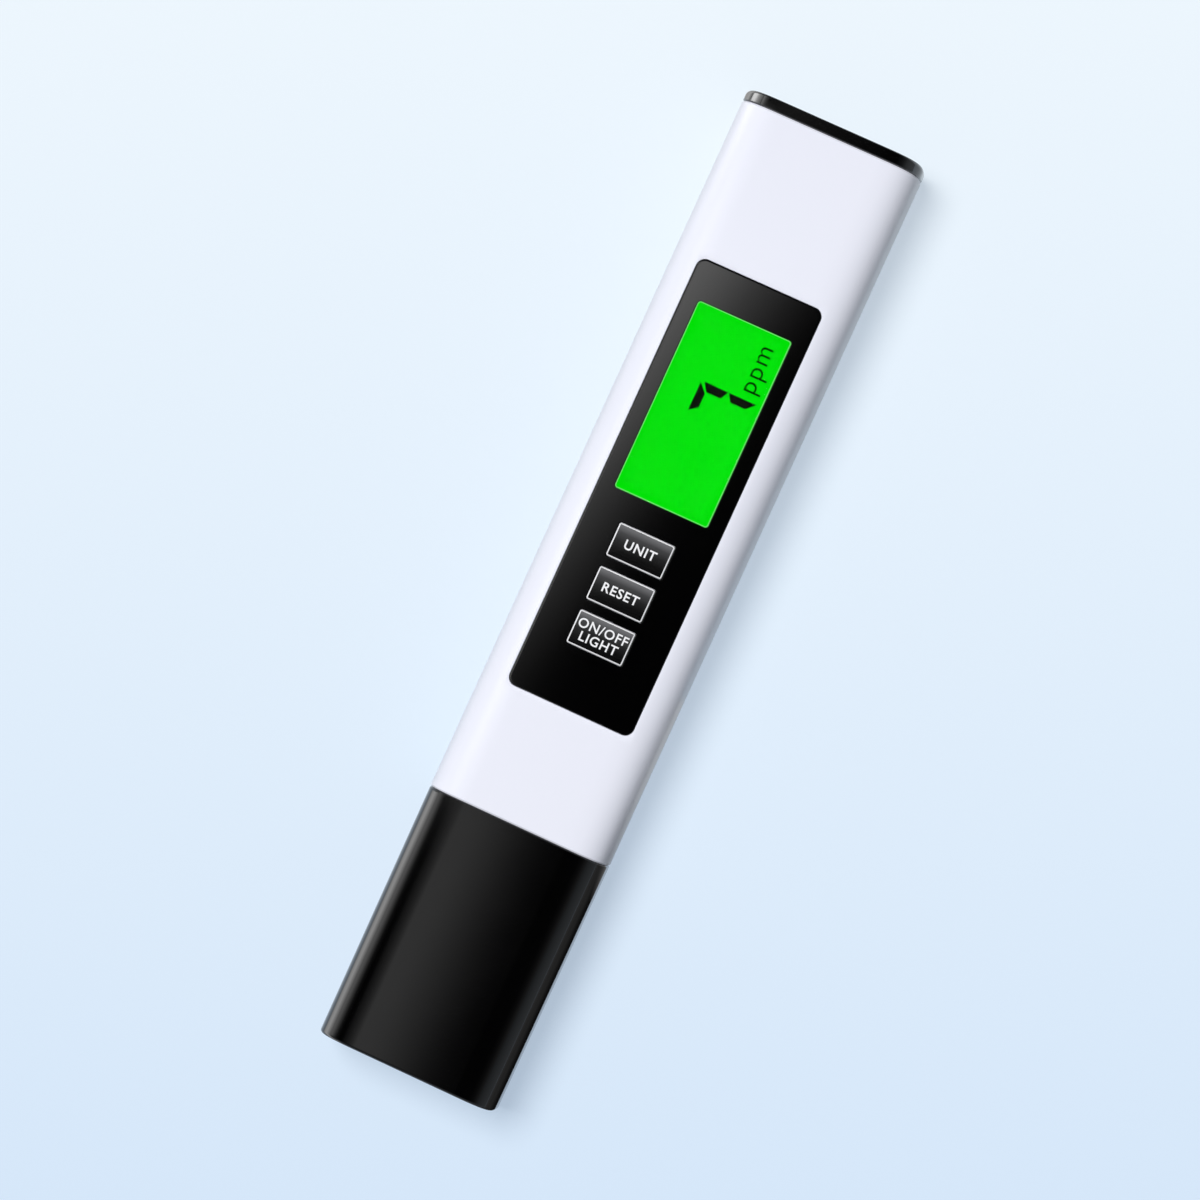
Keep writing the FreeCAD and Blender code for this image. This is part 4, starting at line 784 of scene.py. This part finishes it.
FLOOR_NEAR, FLOOR_FAR = srgb(213, 230, 248), srgb(236, 245, 252)
FLOOR_GLOW = 0.38  # share of its look that is a glow, which no shadow dims
GLOW_TINT, SHADOW_TINT = (1.61, 1.67, 1.75), (0.635, 0.60, 0.555)  # they make up the floor's colour together
FLOOR_SINK = 0.05  # how far the floor lies below the pen's back


def make_floor():
    """A wide pale floor whose blue deepens a little down the view."""
    mesh = bpy.data.meshes.new("floor")
    half = 3.0
    corners = [(-half, -half, 0), (half, -half, 0), (half, half, 0), (-half, half, 0)]
    mesh.from_pydata(corners, [], [(0, 1, 2, 3)])
    floor = bpy.data.objects.new("floor", mesh)
    floor.location.z = -FLOOR_SINK * MM
    bpy.context.scene.collection.objects.link(floor)
    material, tree, shader, place = finish("floor", (0.6, 0.7, 0.8), (0.6, 0.7, 0.8), (0.9, 0.95), 0.005, 0.5,
                                           0.0)
    spin = node(tree, "ShaderNodeVectorRotate", rotation_type="Z_AXIS")
    spin.inputs["Angle"].default_value = -PEN_LEAN
    tree.links.new(place, spin.inputs["Vector"])
    along = ramp_along(tree, spin.outputs["Vector"], "Y", -92, 92)
    colour = blend_colours(tree, along, FLOOR_NEAR, FLOOR_FAR)
    shader.inputs["Specular IOR Level"].default_value = 0.0
    tree.links.new(tinted(tree, colour, SHADOW_TINT), shader.inputs["Base Color"])
    glow = node(tree, "ShaderNodeEmission")
    tree.links.new(tinted(tree, colour, GLOW_TINT), glow.inputs["Color"])
    mixed = node(tree, "ShaderNodeMixShader")
    tree.links.new(combine(tree, "MULTIPLY", seen_directly(tree), FLOOR_GLOW), mixed.inputs[0])
    tree.links.new(shader.outputs[0], mixed.inputs[1])
    tree.links.new(glow.outputs[0], mixed.inputs[2])
    tree.links.new(mixed.outputs[0], tree.nodes["Material Output"].inputs["Surface"])
    material.cycles.emission_sampling = "NONE"
    mesh.materials.append(material)


def tinted(tree, colour, tint):
    """A colour times a tint."""
    made = node(tree, "ShaderNodeVectorMath", operation="MULTIPLY")
    tree.links.new(colour, made.inputs[0])
    made.inputs[1].default_value = tint
    return made.outputs[0]


def seen_directly(tree):
    """One where the camera, a reflection or a clear piece looks, and zero where light spreads."""
    path = node(tree, "ShaderNodeLightPath")
    level = combine(tree, "MAXIMUM", path.outputs["Is Camera Ray"], path.outputs["Is Glossy Ray"])
    return combine(tree, "MAXIMUM", level, path.outputs["Is Transmission Ray"])


def make_sun(name, tilt_x, tilt_y, strength, angle, colour):
    """A broad even light that no reflection shows, from a direction given by its leans to the left and to
    the lid end, in degrees."""
    light = bpy.data.lights.new(name, "SUN")
    light.energy, light.angle, light.color = strength, math.radians(angle), colour
    lamp = bpy.data.objects.new(name, light)
    toward = Vector((-math.tan(math.radians(tilt_x)), math.tan(math.radians(tilt_y)), 1.0))
    lamp.rotation_euler = toward.to_track_quat("Z", "Y").to_euler()
    lamp.visible_glossy = False
    bpy.context.scene.collection.objects.link(lamp)


def make_card(name, low, high, emission):
    """A soft light panel that only shows in reflections. It fills the flat box between two corners, and
    emission builds its strength from its coordinates."""
    mesh = bpy.data.meshes.new(name)
    (x0, y0, z0), (x1, y1, z1) = np.array((low, high)) * MM
    corners = [(x0, y0, z0), (x0, y1, z0), (x1, y1, z1), (x1, y0, z1)]
    mesh.from_pydata(corners, [], [(0, 1, 2, 3)])
    card = bpy.data.objects.new(name, mesh)
    bpy.context.scene.collection.objects.link(card)
    material = bpy.data.materials.new(name)
    material.use_nodes = True
    tree = material.node_tree
    tree.nodes.clear()
    glow = node(tree, "ShaderNodeEmission")
    place = node(tree, "ShaderNodeTexCoord").outputs["Object"]
    tree.links.new(emission(tree, place), glow.inputs["Strength"])
    output = node(tree, "ShaderNodeOutputMaterial")
    tree.links.new(glow.outputs["Emission"], output.inputs["Surface"])
    material.cycles.emission_sampling = "NONE"
    mesh.materials.append(material)
    card.visible_camera = False
    card.visible_diffuse = False
    card.visible_shadow = False
    card.visible_transmission = False
    return card


def combine(tree, operation, first, second):
    """Two values, each a number or a socket, put through one operation."""
    made = node(tree, "ShaderNodeMath", operation=operation)
    for socket, content in zip(made.inputs, (first, second)):
        if isinstance(content, (int, float)):
            socket.default_value = content
        else:
            tree.links.new(content, socket)
    return made.outputs[0]


def curve_along(tree, place, axis, stops):
    """A strength that goes through the given (millimetre, strength) stops on an axis."""
    scaled = [(position * MM, level) for position, level in stops]
    return strength_curve(tree, axes_of(tree, place)[axis], scaled)


def make_world():
    """A pale blue surround that the camera sees bright. It gives the object a weak even fill, and in
    reflections it is pale low down and dark overhead."""
    world = bpy.data.worlds.new("studio")
    bpy.context.scene.world = world
    world.use_nodes = True
    tree = world.node_tree
    background = tree.nodes["Background"]
    path = node(tree, "ShaderNodeLightPath")
    height = axes_of(tree, node(tree, "ShaderNodeTexCoord").outputs["Generated"])["Z"]
    glossy = path.outputs["Is Glossy Ray"]
    mirrored = combine(tree, "MULTIPLY", glossy, strength_curve(tree, height, WALLS))
    spread = combine(tree, "MULTIPLY", combine(tree, "SUBTRACT", 1.0, glossy), FILL)
    level = combine(tree, "ADD", mirrored, spread)
    seen = combine(tree, "MAXIMUM", path.outputs["Is Camera Ray"], path.outputs["Is Transmission Ray"])
    background.inputs["Color"].default_value = (0.86, 0.93, 1.0, 1)
    tree.links.new(combine(tree, "MAXIMUM", seen, level), background.inputs["Strength"])


def strength_curve(tree, source, stops):
    """A strength that goes through the given (place, strength) stops of a value."""
    low, high = stops[0][0], stops[-1][0]
    peak = max(level for _, level in stops)
    ramp = node(tree, "ShaderNodeValToRGB")
    while len(ramp.color_ramp.elements) < len(stops):
        ramp.color_ramp.elements.new(0.5)
    for element, (position, level) in zip(ramp.color_ramp.elements, stops):
        element.position = (position - low) / (high - low)
        element.color = (level / peak, level / peak, level / peak, 1)
    tree.links.new(remap(tree, source, 0, 1, low, high), ramp.inputs["Fac"])
    return combine(tree, "MULTIPLY", ramp.outputs["Color"], peak)


def panel_glow(tree, place):
    """The panel's soft light, which grows towards the left and the lid end. It is a curve of
    x - y / PANEL_SLANT."""
    axes = axes_of(tree, place)
    slanted = combine(tree, "SUBTRACT", axes["X"], combine(tree, "DIVIDE", axes["Y"], PANEL_SLANT))
    return strength_curve(tree, slanted, [(position * MM, level) for position, level in PANEL_GLOW])


def glow_along(axis, stops):
    """What builds a card's strength from a curve on one axis."""
    return lambda tree, place: curve_along(tree, place, axis, stops)


def glow_of(operation, first, second):
    """What builds a card's strength from two others through one operation."""
    return lambda tree, place: combine(tree, operation, first(tree, place), second(tree, place))


# Strengths of the surround by the height of its direction, and of the cards by a place in millimetres
FILL = 0.07
WALLS = ((-1, 0.3), (0, 0.45), (0.17, 0.44), (0.44, 0.37), (0.64, 0.27), (0.77, 0.13), (0.87, 0.054),
         (0.94, 0.024), (1, 0.01))
CARD_LEVEL = 165.0  # the height of the cards overhead
CAP_GLOW = ((-150, 0.12), (-129, 0.06), (-98, 0.004), (-71, 0.02), (-53, 0.09), (-41, 0.23), (-35.5, 0.33),
            (-26, 0.58), (-22.6, 0.66), (-20.2, 0.6), (-18.3, 0.48), (-15.9, 0.36), (-14, 0.25),
            (-11.6, 0.14), (-9.7, 0.075), (-7.3, 0.03), (-5.4, 0.01), (2.3, 0.005), (52, 0.01), (64, 0.02),
            (97, 0.054), (136, 0.13), (150, 0.17))
CAP_WALL = ((0, 0.4), (75, 0.4), (95, 1.5), (110, 1.4), (179, 0.45), (240, 0.07))
CAP_FLOOR = ((16, 0.0), (21.5, 0.03), (32, 0.16), (80, 0.3), (300, 0.36))
CAP_FLOOR_END = ((-150, 0.0), (-44, 0.0), (-24, 0.7), (-10, 0.8))
PANEL_SLANT = 4.3
PANEL_GLOW = ((-60, 2.7), (-39, 2.6), (-37.8, 2.3), (-28.9, 0.83), (-27.8, 0.72), (-22, 0.22), (-20, 0.15),
              (-18, 0.06), (-16.9, 0.04), (-11.9, 0.0), (40, 0.0))
FOOT_STRIP = ((-150, 1.6), (-125, 3.2), (-95, 4.2), (-50, 4.6), (-38, 2.4), (-29, 0.4), (-24, 0.0), (60, 0.0))
LID_GLOW = ((-150, 2.0), (-110, 0.5), (-80, 0.06), (-60, 0.025), (-40, 0.05), (-24, 0.11), (-14, 0.04),
            (-5, 0.01), (60, 0.006))
LID_WALL = ((0, 4.6), (30, 7.5), (72, 7.0), (110, 3.2), (160, 1.7), (200, 1.2))
CAP_NEAR = ((8.5, 1.2), (11, 2.7), (13, 3.6), (15, 2.8), (17.4, 1.5), (18, 1.3))
LID_LOW = ((-150, 0.75), (-88, 0.8), (-50, 1.7), (-34, 2.3), (-26, 1.4), (-20, 0.8), (-16, 0.75))
SIDE_STRIP = ((-150, 0.8), (-120, 2.4), (-50, 2.8), (-42, 1.0), (-36, 0.0))
SIDE_LENGTH = ((-31, 1.5), (27, 1.1), (75, 0.8), (90, 0.7))
CARDS = (
    ("cap_card", (-150, -146, CARD_LEVEL), (150, -43, CARD_LEVEL), glow_along("X", CAP_GLOW)),
    ("cap_wall", (-200, -125, 0), (-200, -43, 240), glow_along("Z", CAP_WALL)),
    ("cap_near", (-22, -120, 8.5), (-22, -38.0, 18), glow_along("Z", CAP_NEAR)),
    ("lid_low", (-150, 77.3, 1), (-16, 130, 1), glow_along("X", LID_LOW)),
    ("cap_floor", (16, -150, 1), (300, -10, 1),
     glow_of("MAXIMUM", glow_along("X", CAP_FLOOR), glow_along("Y", CAP_FLOOR_END))),
    ("foot_card", (-150, -41, CARD_LEVEL), (60, -31, CARD_LEVEL), glow_along("X", FOOT_STRIP)),
    ("panel_card", (-34, -30, CARD_LEVEL), (10, 71, CARD_LEVEL), panel_glow),
    ("side_card", (-150, -31, CARD_LEVEL), (-36, 88, CARD_LEVEL),
     glow_of("MULTIPLY", glow_along("X", SIDE_STRIP), glow_along("Y", SIDE_LENGTH))),
    ("lid_card", (-150, 88, CARD_LEVEL), (60, 130, CARD_LEVEL), glow_along("X", LID_GLOW)),
    ("lid_wall", (-200, 93, 0), (-200, 150, 200), glow_along("Z", LID_WALL)),
)

bpy.context.scene.view_settings.view_transform = "Standard"
make_camera()
make_floor()
make_world()
make_sun("key_light", 18.0, 8.0, 3.15, 30.0, (1.0, 1.0, 1.0))
for card in CARDS:
    make_card(*card)

make_sleeve()
make_panel()
make_window()
make_window_rim()
make_cap()
make_lid()
for key, body in KEYS.items():
    make_key(key, body)
    make_key_border(key, body)
make_key_words("unit_key", "unit_button", ["UNIT"], 2.05, 1.0, 0.035)
make_key_words("reset_key", "reset_button", ["RESET"], 2.05, 1.0, 0.035)
make_key_words("power_key", "power_button", ["ON/OFF", "LIGHT"], 2.05, 0.92, 0.03)
make_digit()
words("unit_word", ["ppm"], "meter", INK_DARK, "display_glass", 4.08, (5.08, 39.62), math.pi / 2,
      display_top + FILM_GAP, thick=FILM_TOP - FILM_GAP, weight=-0.035, spread=1.12)
make_ring("neck_ring", "cap_ring", "meter", 3.0)
make_ring("sleeve_ring", "plug_ring", "meter", 2.0)
make_ring("lid_seal", "lid_ring", "battery_drawer", 2.0)

BODIES = {name: body for body, names in frame["record"]["behaviour"]["bodies"].items() for name in names}
COPIES = {
    "probe_nose": (BLACK_PROBE, "black_probe"), "probe_potting": (RESIN, "resin"),
    "electrode_left": (PIN_METAL, "pin_metal"), "electrode_right": (PIN_METAL, "pin_metal"),
    "thermistor_tube": (STEEL, "steel"), "thermistor": (THERMISTOR, "thermistor"),
    "main_board": (BOARD_GREEN, "board_green"), "control_chip": (CHIP_BLACK, "chip_black"),
    "crystal": (STEEL, "steel"), "chip_parts": (SMALL_PART_TAN, "small_part_tan"),
    "lcd_cell": (DISPLAY_GLASS, "display_glass"), "light_guide": (LIGHT_GUIDE, "light_guide"),
    "backlight_led": (BACKLIGHT, "backlight"), "lcd_frame": (WHITE_FRAME, "white_frame"),
    "contact_strip": (CONTACT_RUBBER, "contact_rubber"),
    "board_screw_left": (STEEL, "steel"), "board_screw_right": (STEEL, "steel"),
    "positive_leaf": (LEAF_BRASS, "leaf_brass"), "negative_leaf": (LEAF_BRASS, "leaf_brass"),
    "battery_tray": (WHITE_TRAY, "white_tray"), "cell_1": (STEEL, "steel"), "cell_2": (STEEL, "steel"),
    "battery_bridge": (LEAF_BRASS, "leaf_brass"),
}
for stem in ("power", "reset", "unit"):
    COPIES[f"{stem}_switch"] = (SWITCH_BLACK, "switch_black")
    COPIES[f"{stem}_plunger"] = (PLUNGER_BROWN, "plunger_brown")
    COPIES[f"{stem}_dome"] = (STEEL, "steel")
for name, (material, slot_name) in COPIES.items():
    copy = make_copy(name, material, BODIES[name])
    if name.endswith("_dome"):
        flatten(copy)
